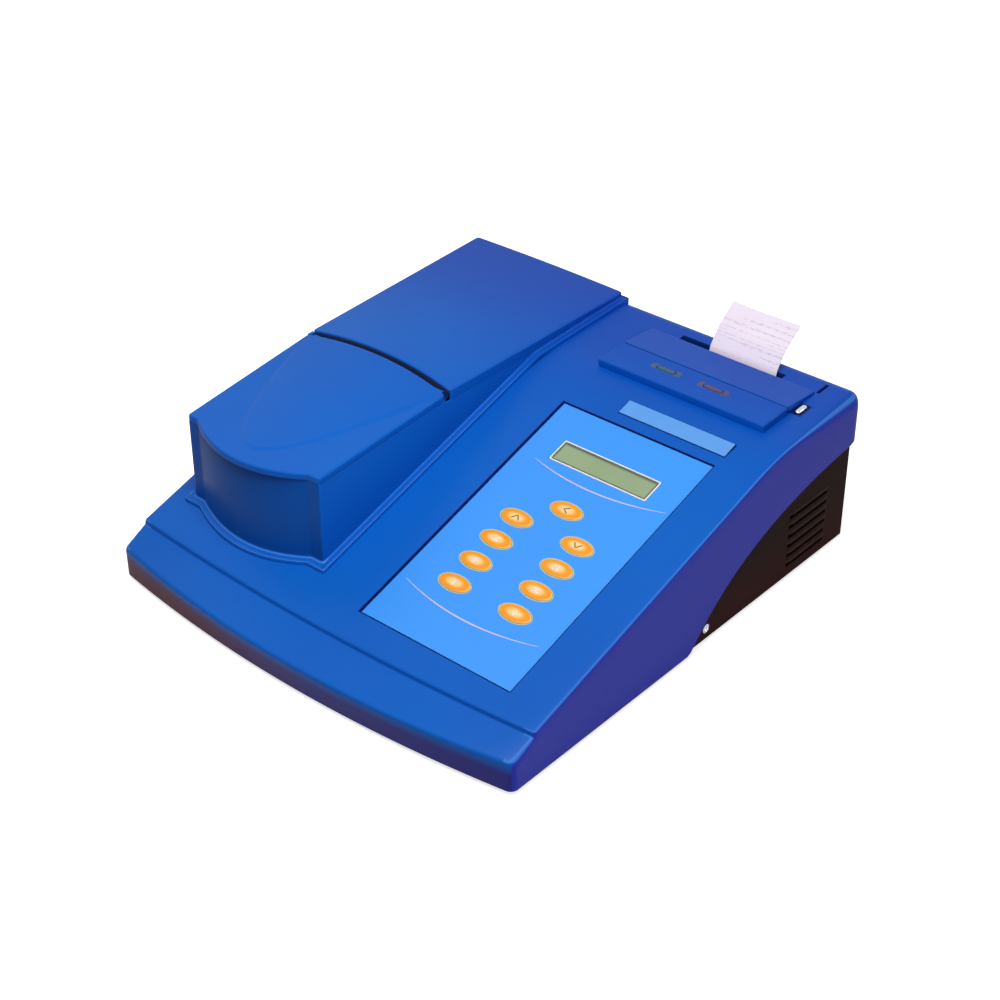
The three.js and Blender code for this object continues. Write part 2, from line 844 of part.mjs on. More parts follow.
function lidKnuckle(side) {
  const [low, high] = knuckleSpan(side, 1);
  const round = bar('x', knuckleRadius, low, high, hingeY, hingeZ, 20);
  const reach = grooveY - grooveWidth / 2 - lidSkin / 2;
  const arm = box(low, high, reach, hingeY, hingeZ - knuckleRadius, hingeZ + knuckleRadius / 2);
  return round.add(arm);
}

function hingeBore(side) {
  const [low] = knuckleSpan(side, 1);
  const [, high] = knuckleSpan(side, 0);
  const start = side > 0 ? low - overrun : knuckleSpan(side, 0)[0];
  const end = side > 0 ? high : knuckleSpan(side, 1)[1] + overrun;
  return bar('x', pinRadius + runGap, start - runGap, end + runGap, hingeY, hingeZ, 16);
}

function makeLid() {
  const grooveFront = -grooveWidth / 2;
  const shell = warpedBox(18, 10, (u, v, w) => lidPoint(u, v, w, 0, grooveFront));
  const hollow = warpedBox(18, 10, (u, v, w) => lidPoint(u, v, w, lidSkin, grooveFront));
  let lid = shell.subtract(hollow);
  for (const side of [-1, 1]) {
    const [low, high] = knuckleSpan(side, 0);
    const room = knuckleRadius + runGap;
    lid = lid.subtract(bar('x', room, low - runGap, high + runGap, hingeY, hingeZ, 20));
    lid = lid.subtract(box(low - runGap, high + runGap, hingeY - room, hingeY + room, 0, hingeZ));
  }
  for (const side of [-1, 1]) lid = lid.add(lidKnuckle(side));
  for (const side of [-1, 1]) lid = lid.subtract(hingeBore(side));
  place('sample_lid', lid, 'blueCase');
  for (const [side, name] of [[-1, 'lid_pin_left'], [1, 'lid_pin_right']]) {
    const low = Math.min(knuckleSpan(side, 0)[0], knuckleSpan(side, 1)[0]);
    const high = Math.max(knuckleSpan(side, 0)[1], knuckleSpan(side, 1)[1]);
    place(name, bar('x', pinRadius, low, high, hingeY, hingeZ, 16), 'steel');
  }
}

function lidFrontY(u, inset) {
  const right = housingRightX;
  const left = housingFrontLeftX;
  const middle = (right + left) / 2;
  const half = (right - left) / 2 - shoulder;
  const x = mix(left, right, u);
  const share = Math.min(1, Math.abs((x - middle) / half));
  return housingFrontY + inset - lidBulge * (1 - share ** 2);
}

function lidPoint(u, v, w, inset, grooveFront) {
  const shareLine = mix(housingFrontLeftX, housingRightX, u);
  const rear = grooveLine(shareLine, grooveFront) - inset;
  const y = mix(lidFrontY(u, inset), rear, v);
  const left = tunnelLeftX(y) + inset;
  const x = mix(left, housingRightX - inset, u);
  if (w > 1 / 2) return [x, y, lidTop(x, y) - inset];
  return [x, y, lidPlane(y) - lidEdge - (inset > 0 ? overrun : 0)];
}

function makeLidGasket() {
  const top = (y) => lidPlane(y) - lidSkin - seatGap;
  const ring = (inset) => {
    const rear = grooveY - grooveWidth / 2 - lidGasketInset - webThickness - inset;
    return warpedBox(14, 2, (u, v, w) => {
      const y = mix(lidFrontY(u, lidGasketInset + inset) + lidBulge - housingBulge, rear, v);
      const left = tunnelLeftX(y) + lidGasketInset + inset;
      const x = mix(left, housingRightX - lidGasketInset - inset, u);
      const over = inset > 0 ? overrun : 0;
      return [x, y, w > 1 / 2 ? top(y) + over : top(y) - lidGasketDepth - over];
    });
  };
  place('lid_gasket', ring(0).subtract(ring(lidGasketWidth)), 'rubber');
}

function keyPlaces() {
  const places = [];
  for (const x of [keyLeftX, keyRightX]) {
    for (let row = 0; row < keyRows; row += 1) places.push([x, keyTopT - row * keyPitch]);
  }
  places.push([(keyLeftX + keyRightX) / 2, keyTopT + keyPitch]);
  return places;
}

function makePanel() {
  const overlayLow = -panelRecess + seatGap;
  const overlayTop = overlayLow + overlayThickness;
  let overlay = box(
    panelLeftX,
    panelLeftX + panelWidth,
    panelStartT,
    panelStartT + panelLength,
    overlayLow,
    overlayTop,
  );
  for (const [x, t] of keyPlaces()) {
    const across = keyHalfLength + runGap;
    overlay = overlay.subtract(oval(across, keyHalfHeight + runGap, overlayLow - overrun, overrun, x, t));
  }
  overlay = overlay.subtract(box(
    windowLeftX - seatGap,
    windowLeftX + windowWidth + seatGap,
    windowStartT - seatGap,
    windowStartT + windowLength + seatGap,
    overlayLow - overrun,
    overrun,
  ));
  place('membrane_overlay', onDeck(overlay), 'overlayBlue');
  makeDisplay(overlayLow, overlayTop);
  makeKeys(overlayTop);
  place('name_strip', onDeck(box(
    stripLeftX,
    stripLeftX + stripWidth,
    stripStartT,
    stripStartT + stripLength,
    -stripRecess + seatGap,
    -stripRecess + seatGap + stripThickness,
  )), 'stripBlue');
}

function makeDisplay(overlayLow, overlayTop) {
  const right = windowLeftX + windowWidth;
  const end = windowStartT + windowLength;
  const frame = box(windowLeftX, right, windowStartT, end, overlayLow, overlayTop + bezelProud);
  const hole = box(
    windowLeftX + bezelWidth,
    right - bezelWidth,
    windowStartT + bezelWidth,
    end - bezelWidth,
    overlayLow - overrun,
    overrun,
  );
  place('display_bezel', onDeck(frame.subtract(hole)), 'whitePlastic');
  const edge = bezelWidth + seatGap;
  const glass = box(
    windowLeftX + edge,
    right - edge,
    windowStartT + edge,
    end - edge,
    overlayTop - glassSink - glassThickness,
    overlayTop - glassSink,
  );
  place('display_window', onDeck(glass), 'displayGreen');
  const inner = displayLedge + seatGap;
  const nose = box(
    windowLeftX + inner,
    right - inner,
    windowStartT + inner,
    end - inner,
    -deckWall - displayBack,
    overlayTop - glassSink - glassThickness - seatGap,
  );
  const board = box(
    windowLeftX - displayMargin,
    right + displayMargin,
    windowStartT - displayMargin,
    end + displayMargin,
    -deckWall - displayBack,
    -deckWall - seatGap,
  );
  place('display_module', onDeck(nose.add(board)), 'blackPlastic');
}

const keyNames = [
  'key_left_1',
  'key_left_2',
  'key_left_3',
  'key_left_4',
  'key_right_1',
  'key_right_2',
  'key_right_3',
  'key_right_4',
  'key_top',
];

function makeKeys(overlayTop) {
  const flangeTop = -deckWall - seatGap;
  const flangeLow = flangeTop - keyFlangeThickness;
  keyPlaces().forEach(([x, t], i) => {
    const rim = overlayTop + keyProud - keyDome;
    const stem = oval(keyHalfLength, keyHalfHeight, flangeLow, rim, x, t);
    const share = 1 - keyDome / keyHalfHeight;
    const dome = new THREE.CylinderGeometry(share, 1, keyDome, 20);
    dome.rotateX(Math.PI / 2);
    dome.scale(keyHalfLength, keyHalfHeight, 1);
    dome.translate(x, t, rim + keyDome / 2);
    const flange = oval(keyHalfLength + keyFlange, keyHalfHeight + keyFlange, flangeLow, flangeTop, x, t);
    place(keyNames[i], onDeck(stem.add(toSolid(dome)).add(flange)), 'orangeKey');
  });
  const boardTop = flangeLow - keyTravel - seatGap;
  const left = (keyLeftX + keyRightX - keyBoardWidth) / 2;
  const low = keyTopT - (keyRows - 1) * keyPitch - keyHalfHeight - keyBoardMargin;
  const high = keyTopT + keyPitch + keyHalfHeight + keyBoardMargin;
  let board = box(left, left + keyBoardWidth, low, high, boardTop - keyBoardThickness, boardTop);
  for (const x of [left + keyBoardPost, left + keyBoardWidth - keyBoardPost]) {
    for (const t of [low + keyBoardPost, high - keyBoardPost]) {
      board = board.add(bar('z', keyBoardPost, boardTop - keyBoardThickness, flangeTop, x, t, 12));
    }
  }
  place('keypad_board', onDeck(board), 'board');
}

// Printer: a fixed strip in front, a door hinged behind it, both drawn on the roof
function makePrinterTop() {
  const front = roofShare(printerFrontY);
  const flat = roofShare(printerFlatY);
  const rear = roofShare(printerRearY);
  const axisS = flat + doorAxisSetback;
  const axisN = printerRise - doorAxisDrop;
  const underN = printerRise - printerSkin;
  const strip = alongX(
    [[front, seatGap], [front, printerRise], [flat - doorGap, printerRise], [flat - doorGap, seatGap]],
    printerLeftX,
    printerRightX,
  );
  const stripRoom = box(
    printerLeftX + printerRim,
    printerRightX - printerRim,
    front + printerRim,
    flat - doorGap - printerRim,
    -overrun,
    underN,
  );
  const slope = (printerRise - printerRearRise) / (rear - flat);
  const doorTop = (along) => printerRise - slope * (along - flat);
  const railEnd = flat + doorRailReach;
  const roomEnd = rear - printerRim;
  const door = alongX([
    [flat, printerRise - doorRailDrop],
    [flat, printerRise - doorChamfer],
    [flat + doorChamfer, doorTop(flat + doorChamfer)],
    [rear, printerRearRise],
    [rear, seatGap],
    [railEnd, seatGap],
    [railEnd, printerRise - doorRailDrop],
  ], printerLeftX, printerRightX);
  const roomTop = (along) => Math.max(doorTop(along) - printerSkin, seatGap);
  const doorRoom = alongX([
    [railEnd, -overrun],
    [railEnd, roomTop(railEnd)],
    [roomEnd, roomTop(roomEnd)],
    [roomEnd, -overrun],
  ], printerLeftX + printerRim, printerRightX - printerRim);
  let bezelSolid = strip.subtract(stripRoom);
  let doorSolid = door.subtract(doorRoom);
  for (const side of [-1, 1]) {
    const [low, high] = doorEarSpan(side);
    const ear = bar('x', doorEarRadius, low, high, axisS, axisN, 16);
    const arm = box(
      low,
      high,
      flat - doorGap - doorEarRadius,
      axisS,
      axisN - doorEarRadius,
      axisN + doorEarRadius,
    );
    bezelSolid = bezelSolid.add(ear).add(arm);
    const reach = doorEarRadius + runGap;
    const notch = box(
      low - runGap,
      high + runGap,
      flat - overrun,
      axisS + reach,
      -overrun,
      printerRise + overrun,
    );
    doorSolid = doorSolid.subtract(notch);
  }
  for (const [side, name] of [[-1, 'printer_pin_left'], [1, 'printer_pin_right']]) {
    const [low, high] = doorEarSpan(side);
    const middle = (low + high) / 2;
    const pinLow = middle - doorPinLength / 2;
    const pinHigh = middle + doorPinLength / 2;
    const bore = bar('x', doorPinRadius + seatGap, pinLow - runGap, pinHigh + runGap, axisS, axisN, 16);
    bezelSolid = bezelSolid.subtract(bore);
    doorSolid = doorSolid.subtract(bore);
    place(name, onRoof(bar('x', doorPinRadius, pinLow, pinHigh, axisS, axisN, 12)), 'steel');
  }
  const buttonS = roofShare(buttonY);
  const holeHalf = buttonHalfLength + runGap;
  for (const [x, name] of [[buttonLeftX, 'printer_button_left'], [buttonRightX, 'printer_button_right']]) {
    const hole = pill(holeHalf, buttonRadius + runGap, -overrun, printerRise + overrun, x, buttonS);
    bezelSolid = bezelSolid.subtract(hole);
    const flangeTop = underN - seatGap;
    const low = flangeTop - buttonFlangeThickness;
    const stem = pill(buttonHalfLength, buttonRadius, low, printerRise + buttonProud, x, buttonS);
    const flangeHalf = buttonHalfLength + buttonFlange;
    const flange = pill(flangeHalf, buttonRadius + buttonFlange, low, flangeTop, x, buttonS);
    place(name, onRoof(stem.add(flange)), 'blackPlastic');
  }
  place('printer_bezel', onRoof(bezelSolid), 'blueCase');
  place('printer_door', onRoof(doorSolid), 'blueCase');
}

function doorEarSpan(side) {
  const edge = side > 0 ? printerRightX : printerLeftX;
  const start = edge - side * doorEarInset;
  const end = start - side * doorEarLength;
  return [Math.min(start, end), Math.max(start, end)];
}

function makeLatch() {
  const flangeTop = -deckWall - seatGap;
  const low = flangeTop - latchFlangeThickness;
  const stem = pill(latchHalfLength, latchRadius, low, latchProud, latchX, roofShare(latchY), true);
  const flangeHalf = latchHalfLength + latchFlange;
  const flange = pill(
    flangeHalf,
    latchRadius + latchFlange,
    low,
    flangeTop,
    latchX,
    roofShare(latchY),
    true,
  );
  place('printer_latch', onRoof(stem.add(flange)), 'chrome');
}

// Paper bay: an open tub hung in the roof, with bearings for the roll and a mouth for the paper in its back
function makePaperBay() {
  const left = bayLeftX + seatGap;
  const right = bayRightX - seatGap;
  const front = bayFrontY + seatGap;
  const rear = bayRearY - seatGap;
  const rollZ = skinZ(rollY()) - rollDrop;
  const bottom = rollZ - rollRadius - rollRoom - tubWall;
  const under = (y) => skinZ(y) - deckWall - seatGap;
  const body = alongX([
    [front, bottom],
    [front, skinZ(front) - seatGap],
    [rear, skinZ(rear) - seatGap],
    [rear, bottom],
  ], left, right);
  const flange = alongX([
    [front - tubFlange, under(front - tubFlange) - tubWall],
    [front - tubFlange, under(front - tubFlange)],
    [rear + tubFlange, under(rear + tubFlange)],
    [rear + tubFlange, under(rear + tubFlange) - tubWall],
  ], left - tubFlange, right + tubFlange);
  const room = box(
    left + tubWall,
    right - tubWall,
    front + tubWall,
    rear - tubWall,
    bottom + tubWall,
    skinZ(rear) + overrun,
  );
  const tangent = webTangent();
  const mouth = box(
    paperLeftX - rollRoom,
    paperLeftX + paperWidth + rollRoom,
    rear - tubWall - overrun,
    rear + overrun,
    tangent.at(rear) - tubMouth / 2,
    tangent.at(rear) + tubMouth / 2,
  );
  let tub = body.add(flange).subtract(room);
  const half = tubWall / 2;
  const bearingTop = rollZ + rollRadius / 2;
  for (const x of [left + half, right - half - bearingWidth]) {
    tub = tub.add(box(x, x + bearingWidth, front + half, rear - half, bottom + half, bearingTop));
  }
  const notch = spindleRadius + runGap;
  tub = tub.subtract(bar('x', notch, left + tubWall, right - tubWall, rollY(), rollZ, 24));
  tub = tub.subtract(box(
    left + tubWall,
    right - tubWall,
    rollY() - notch,
    rollY() + notch,
    rollZ,
    skinZ(rear),
  ));
  place('paper_tub', tub.subtract(mouth), 'blackPlastic');
  const core = spindleRadius + seatGap;
  const roll = bar('x', rollRadius, paperLeftX, paperLeftX + paperWidth, rollY(), rollZ, 36);
  const hole = bar('x', core, paperLeftX - overrun, paperLeftX + paperWidth + overrun, rollY(), rollZ, 24);
  place('paper_roll', roll.subtract(hole), 'paper');
  const reach = tubWall + runGap;
  place(
    'paper_spindle',
    bar('x', spindleRadius, left + reach, right - reach, rollY(), rollZ, 24),
    'whitePlastic',
  );
}

function rollY() {
  return (bayFrontY + bayRearY) / 2;
}

function platenPlace() {
  const y = bayRearY + platenSetback;
  return [y, skinZ(y) - platenDrop];
}

// Line of the paper between roll and platen: it leaves the roll below and passes under the platen
function webTangent() {
  const rollZ = skinZ(rollY()) - rollDrop;
  const [platenY, platenZ] = platenPlace();
  const offset = seatGap + paperThickness / 2;
  const across = platenY - rollY();
  const up = platenZ - rollZ;
  const apart = Math.hypot(across, up);
  const angle = Math.atan2(up, across) + Math.asin((rollRadius - platenRadius) / apart);
  const startY = rollY() + (rollRadius + offset) * Math.sin(angle);
  const startZ = rollZ - (rollRadius + offset) * Math.cos(angle);
  return { angle, startY, startZ, at: (y) => startZ + (y - startY) * Math.tan(angle) };
}

// Middle line of the paper: straight to the platen, round it, up, and out of the slot leaning back
function paperLine() {
  const { angle, startY, startZ } = webTangent();
  const [platenY, platenZ] = platenPlace();
  const radius = platenRadius + seatGap + paperThickness / 2;
  const points = [[startY, startZ]];
  const steps = 6;
  for (let i = 0; i <= steps; i += 1) {
    const turn = mix(angle, Math.PI / 2, i / steps);
    points.push([platenY + radius * Math.sin(turn), platenZ - radius * Math.cos(turn)]);
  }
  let heading = Math.PI / 2;
  const advance = (length) => {
    const [y, z] = points[points.length - 1];
    points.push([y + length * Math.cos(heading), z + length * Math.sin(heading)]);
  };
  const turnTo = (degrees, length) => {
    const goal = THREE.MathUtils.degToRad(degrees);
    const start = heading;
    for (let i = 1; i <= steps; i += 1) {
      heading = mix(start, goal, i / steps);
      advance(length / steps);
    }
  };
  advance(paperRise);
  turnTo(paperLean, paperBend);
  advance(paperClear);
  turnTo(paperTopLean, paperBend);
  advance(paperTop);
  return points;
}

function makePaperStrip() {
  const line = paperLine();
  const front = [];
  const back = [];
  line.forEach(([y, z], i) => {
    const [y0, z0] = line[Math.max(0, i - 1)];
    const [y1, z1] = line[Math.min(line.length - 1, i + 1)];
    const length = Math.hypot(y1 - y0, z1 - z0);
    const across = ((z1 - z0) / length) * (paperThickness / 2);
    const down = ((y1 - y0) / length) * (paperThickness / 2);
    front.push([y - across, z + down]);
    back.unshift([y + across, z - down]);
  });
  place('paper_strip', alongX([...back, ...front], paperLeftX, paperLeftX + paperWidth), 'paper');
}

function makePrintHead() {
  const [platenY, platenZ] = platenPlace();
  const left = paperLeftX - rollRoom;
  const right = paperLeftX + paperWidth + rollRoom;
  const start = platenY + platenRadius + headGap + paperThickness + seatGap;
  const cheekFront = bayRearY + seatGap;
  const low = platenZ - cheekBelow;
  let frame = box(
    left - cheekThickness / 2,
    right + cheekThickness / 2,
    start,
    start + headDepth,
    platenZ - headHeight / 2,
    platenZ + headHeight / 2,
  );
  for (const x of [left - cheekThickness, right]) {
    frame = frame.add(box(x, x + cheekThickness, cheekFront, start + headDepth, low, platenZ + cheekRise));
  }
  const shaftRoom = platenShaftRadius + runGap;
  const shaftLow = left - cheekThickness;
  const shaftHigh = right + cheekThickness;
  frame = frame.subtract(bar(
    'x',
    shaftRoom,
    shaftLow - overrun,
    shaftHigh + overrun,
    platenY,
    platenZ,
    16,
  ));
  place('print_head_frame', frame, 'blackPlastic');
  const rubber = bar('x', platenRadius, paperLeftX, paperLeftX + paperWidth, platenY, platenZ, 28);
  const shaft = bar('x', platenShaftRadius, shaftLow, shaftHigh, platenY, platenZ, 16);
  place('platen_roller', rubber.add(shaft), 'rubber');
}

// Base tray with side wings that rise behind the arcs of the cover, and the rear panel
function makeChassis() {
  const front = frontY + wall + seatGap;
  const left = -chassisHalf;
  const right = chassisHalf;
  const lap = sheet / 2;
  const tray = alongX([
    [front + lap, 0],
    [front + lap, sheet],
    [chassisRear - lap, sheet],
    [chassisRear - lap, 0],
  ], left + lap, right - lap, 16, bowCase);
  const wingTop = skirtEndHeight + wingLap;
  const wing = [
    [front, 0],
    [front, rimHeight],
    [wingStartY, rimHeight],
    ...skirtLine(wingLap).filter(([y]) => y < chassisRear - sheet),
    [chassisRear - lap, wingTop],
    [chassisRear - lap, 0],
  ];
  const rearPanel = box(left, right, chassisRear - sheet, chassisRear, 0, wingTop);
  let chassis = tray.add(rearPanel);
  chassis = chassis.add(alongX(wing, left, left + sheet)).add(alongX(wing, right - sheet, right));
  for (let i = 0; i < ventCount; i += 1) {
    const low = ventFirstZ + i * ventPitch;
    for (const x of [left, right]) {
      const cut = box(
        x - sheet * 2,
        x + sheet * 2,
        ventFirstY,
        ventFirstY + ventLength,
        low,
        low + ventHeight,
      );
      chassis = chassis.subtract(cut);
    }
  }
  for (const x of [left, right]) {
    chassis = chassis.subtract(
      bar('x', sideScrewShank + seatGap, x - sheet * 2, x + sheet * 2, sideScrewY, sideScrewZ, 16),
    );
  }
  for (const [x, y] of standoffPlaces()) {
    chassis = chassis.add(bar('z', standoffRadius, 0, boardZ - seatGap, x, y, 12));
  }
  place('base_chassis', chassis.subtract(rearCuts()), 'blackSteel');
  for (const [side, name] of [[-1, 'side_screw_left'], [1, 'side_screw_right']]) {
    const inner = side * (chassisHalf + seatGap);
    const outer = side * (chassisHalf + seatGap + sideScrewHead);
    const tip = side * (chassisHalf - sideScrewLength);
    const head = bar(
      'x',
      sideScrewRadius,
      Math.min(inner, outer),
      Math.max(inner, outer),
      sideScrewY,
      sideScrewZ,
      20,
    );
    const shank = bar(
      'x',
      sideScrewShank,
      Math.min(tip, outer),
      Math.max(tip, outer),
      sideScrewY,
      sideScrewZ,
      12,
    );
    place(name, head.add(shank), 'chrome');
  }
  const footX = halfWidth - footInsetX;
  const names = ['foot_front_left', 'foot_front_right', 'foot_rear_left', 'foot_rear_right'];
  [[-footX, -1], [footX, -1], [-footX, 1], [footX, 1]].forEach(([x, end], i) => {
    const y = end * (rearY - footInsetY);
    const geometry = new THREE.CylinderGeometry(
      footRadius,
      footRadius - footTaper,
      footHeight - seatGap,
      28,
    );
    geometry.rotateX(Math.PI / 2);
    geometry.translate(x, y, -(footHeight + seatGap) / 2);
    place(names[i], toSolid(geometry), 'rubber');
  });
}

function standoffPlaces() {
  const right = boardLeftX + boardWidth;
  const rear = boardFrontY + boardLength;
  const places = [];
  for (const x of [boardLeftX + standoffInset, right - standoffInset]) {
    for (const y of [boardFrontY + standoffInset, rear - standoffInset]) places.push([x, y]);
  }
  return places;
}

// Box centred on a place of the rear panel, between two depths
function panelBox(x, width, height, y0, y1) {
  return box(x - width / 2, x + width / 2, y0, y1, panelZ - height / 2, panelZ + height / 2);
}

function rearCuts() {
  const y0 = chassisRear - sheet * 2;
  const y1 = chassisRear + sheet;
  const room = seatGap * 2;
  let cuts = panelBox(inletX, inletWidth + room, inletHeight + room, y0, y1);
  cuts = cuts.add(panelBox(switchX, switchWidth + room, switchHeight + room, y0, y1));
  cuts = cuts.add(bar('y', fuseBodyRadius + seatGap, y0, y1, fuseX, panelZ, 24));
  return cuts.add(panelBox(portX, portShellWidth + room, portShellHeight + room, y0, y1));
}

function makeRearPanel() {
  const face = chassisRear + seatGap;
  const inletFace = face + inletFlange;
  const flangeRoom = inletFlangeMargin * 2;
  let inlet = panelBox(inletX, inletWidth + flangeRoom, inletHeight + flangeRoom, face, inletFace);
  inlet = inlet.add(panelBox(inletX, inletWidth, inletHeight, face - inletBodyDepth, inletFace));
  inlet = inlet.subtract(
    panelBox(
      inletX,
      inletPocketWidth,
      inletPocketHeight,
      inletFace - inletPocketDepth,
      inletFace + overrun,
    ),
  );
  const bladeBack = inletFace - inletPocketDepth;
  for (const share of [-1, 0, 1]) {
    const x = inletX + share * bladeSpread;
    const z = panelZ + (share === 0 ? bladeRise : -bladeRise);
    inlet = inlet.add(box(
      x - bladeWidth / 2,
      x + bladeWidth / 2,
      bladeBack - bladeWidth,
      bladeBack + bladeLength,
      z - bladeHeight / 2,
      z + bladeHeight / 2,
    ));
  }
  place('power_inlet', inlet, 'blackPlastic');
  makeSwitch(face);
  makeFuse(face);
  const flange = panelBox(portX, portWidth, portHeight, face, face + portFlange);
  const shell = panelBox(
    portX,
    portShellWidth,
    portShellHeight,
    face - portBodyDepth,
    face + portFlange + portShell,
  );
  place('serial_port', flange.add(shell), 'steel');
}

function makeSwitch(face) {
  const outer = face + switchFlange;
  const room = switchFlangeMargin * 2;
  const flange = panelBox(switchX, switchWidth + room, switchHeight + room, face, outer);
  const body = panelBox(switchX, switchWidth, switchHeight, face - switchBodyDepth, outer);
  const pivotY = outer + rockerProud - rockerThickness / 2;
  const sweep = Math.hypot(rockerHeight, rockerThickness) / 2 + runGap;
  const side = rockerWidth / 2 + runGap;
  const round = bar('x', sweep, switchX - side, switchX + side, pivotY, panelZ, 36);
  const pin = bar(
    'x',
    rockerPinRadius + runGap,
    switchX - side - rockerPinReach,
    switchX + side + rockerPinReach,
    pivotY,
    panelZ,
    16,
  );
  place('power_switch_body', flange.add(body).subtract(round).subtract(pin), 'blackPlastic');
  const half = rockerHeight / 2;
  const paddle = alongX([
    [-rockerThickness / 2, -half],
    [-rockerThickness / 2, half],
    [rockerThickness / 2, half],
    [rockerThickness / 3, 0],
    [rockerThickness / 2, -half],
  ].reverse(), -rockerWidth / 2, rockerWidth / 2);
  const reach = rockerWidth / 2 + rockerPinReach;
  const axle = bar('x', rockerPinRadius, -reach, reach, 0, 0, 16);
  const rocker = paddle.add(axle).rotate([-rockerTilt, 0, 0]).translate([switchX, pivotY, panelZ]);
  place('power_rocker', rocker, 'blackPlastic');
}

function makeFuse(face) {
  const outer = face + fuseFlange;
  const flange = bar('y', fuseFlangeRadius, face, outer, fuseX, panelZ, 28);
  const body = bar('y', fuseBodyRadius, face - fuseBodyDepth, outer, fuseX, panelZ, 28);
  const depth = fuseNeckLength + runGap;
  const bore = bar('y', fuseNeckRadius + runGap, outer - depth, outer + overrun, fuseX, panelZ, 24);
  place('fuse_holder', flange.add(body).subtract(bore), 'blackPlastic');
  const capStart = outer + runGap;
  const capEnd = capStart + fuseCapLength;
  const head = bar('y', fuseCapRadius, capStart, capEnd, fuseX, panelZ, 28);
  const neck = bar('y', fuseNeckRadius, outer - fuseNeckLength, capEnd, fuseX, panelZ, 24);
  const slot = box(
    fuseX - fuseCapRadius - overrun,
    fuseX + fuseCapRadius + overrun,
    capEnd - fuseSlotDepth,
    capEnd + overrun,
    panelZ - fuseSlotWidth / 2,
    panelZ + fuseSlotWidth / 2,
  );
  place('fuse_cap', head.add(neck).subtract(slot), 'blackPlastic');
}

// Sample well and the light path across it
function makeOptics() {
  const low = plateTop - plateThickness;
  const fit = -wall - seatGap;
  const inside = alongZ(housingOutline(fit, housingBulge), low, plateTop);
  let plate = inside.intersect(caseSlice(frontY - lipBow, plateRearY));
  const backTop = lidRearTop - grooveDepth - webThickness - seatGap;
  const backWall = alongZ(housingOutline(fit, housingBulge), low, backTop);
  plate = plate.add(backWall.intersect(caseSlice(plateRearY - plateBack, plateRearY)));
  const mouth = new THREE.CylinderGeometry(wellRadius + wellChamfer, wellRadius, wellChamfer, 36);
  mouth.rotateX(Math.PI / 2);
  mouth.translate(wellX, wellY, plateTop - wellChamfer / 2);
  const aboveMouth = bar('z', wellRadius + wellChamfer, plateTop, plateTop + overrun, wellX, wellY, 36);
  plate = plate.subtract(bar('z', wellRadius, 0, plateTop, wellX, wellY, 36));
  place('well_plate', plate.subtract(toSolid(mouth)).subtract(aboveMouth), 'blackPlastic');
  const foot = holderHalf + holderFoot;
  const base = sheet + seatGap;
  const block = box(
    wellX - holderHalf,
    wellX + holderHalf,
    wellY - holderHalf,
    wellY + holderHalf,
    base,
    low - seatGap,
  );
  const footPlate = box(
    wellX - foot,
    wellX + foot,
    wellY - foot,
    wellY + foot,
    base,
    base + holderFootThickness,
  );
  let holder = block.add(footPlate);
  holder = holder.subtract(bar('z', wellRadius, wellFloor, plateTop, wellX, wellY, 36));
  holder = holder.subtract(
    bar('x', portRadius, wellX - holderHalf - overrun, wellX + holderHalf + overrun, wellY, beamZ, 20),
  );
  holder = holder.subtract(bar('y', portRadius, wellY, wellY + holderHalf + overrun, wellX, beamZ, 20));
  place('cell_holder', holder, 'blackPlastic');
  makeLamp(wellX - holderHalf - seatGap);
  const bodyStart = wellX + holderHalf + seatGap;
  const straight = box(
    bodyStart,
    bodyStart + detectorLength,
    wellY - detectorHalf,
    wellY + detectorHalf,
    beamZ - detectorHalf,
    beamZ + detectorHalf,
  );
  const straightNose = bar('x', detectorNoseRadius, bodyStart - detectorNose, bodyStart, wellY, beamZ, 20);
  place('detector_through', straight.add(straightNose), 'aluminium');
  const sideStart = wellY + holderHalf + seatGap;
  const side = box(
    wellX - detectorHalf,
    wellX + detectorHalf,
    sideStart,
    sideStart + detectorLength,
    beamZ - detectorHalf,
    beamZ + detectorHalf,
  );
  const sideNose = bar('y', detectorNoseRadius, sideStart - detectorNose, sideStart, wellX, beamZ, 20);
  place('detector_scatter', side.add(sideNose), 'aluminium');
}

function makeLamp(right) {
  const left = right - lampLength;
  const shell = box(left, right, wellY - lampHalf, wellY + lampHalf, beamZ - lampHalf, beamZ + lampHalf);
  const bore = bar('x', lampBore, left + lampBack, right + overrun, wellY, beamZ, 28);
  const baseHole = bar(
    'x',
    lampBaseRadius + seatGap,
    left - overrun,
    left + lampBack + overrun,
    wellY,
    beamZ,
    24,
  );
  place('lamp_housing', shell.subtract(bore).subtract(baseHole), 'aluminium');
  const baseEnd = left + lampBaseLength - lampBack / 2;
  place('lamp_base', bar('x', lampBaseRadius, left - lampBack / 2, baseEnd, wellY, beamZ, 24), 'steel');
  const bulbStart = baseEnd + seatGap;
  const ball = new THREE.SphereGeometry(bulbRadius, 20, 12);
  ball.translate(bulbStart + bulbNeck, wellY, beamZ);
  const neck = bar('x', bulbRadius, bulbStart, bulbStart + bulbNeck, wellY, beamZ, 20);
  place('lamp_bulb', toSolid(ball).add(neck), 'glass');
  place('lamp_lens', bar('x', lampBore - seatGap, right - lensThickness, right, wellY, beamZ, 28), 'glass');
}

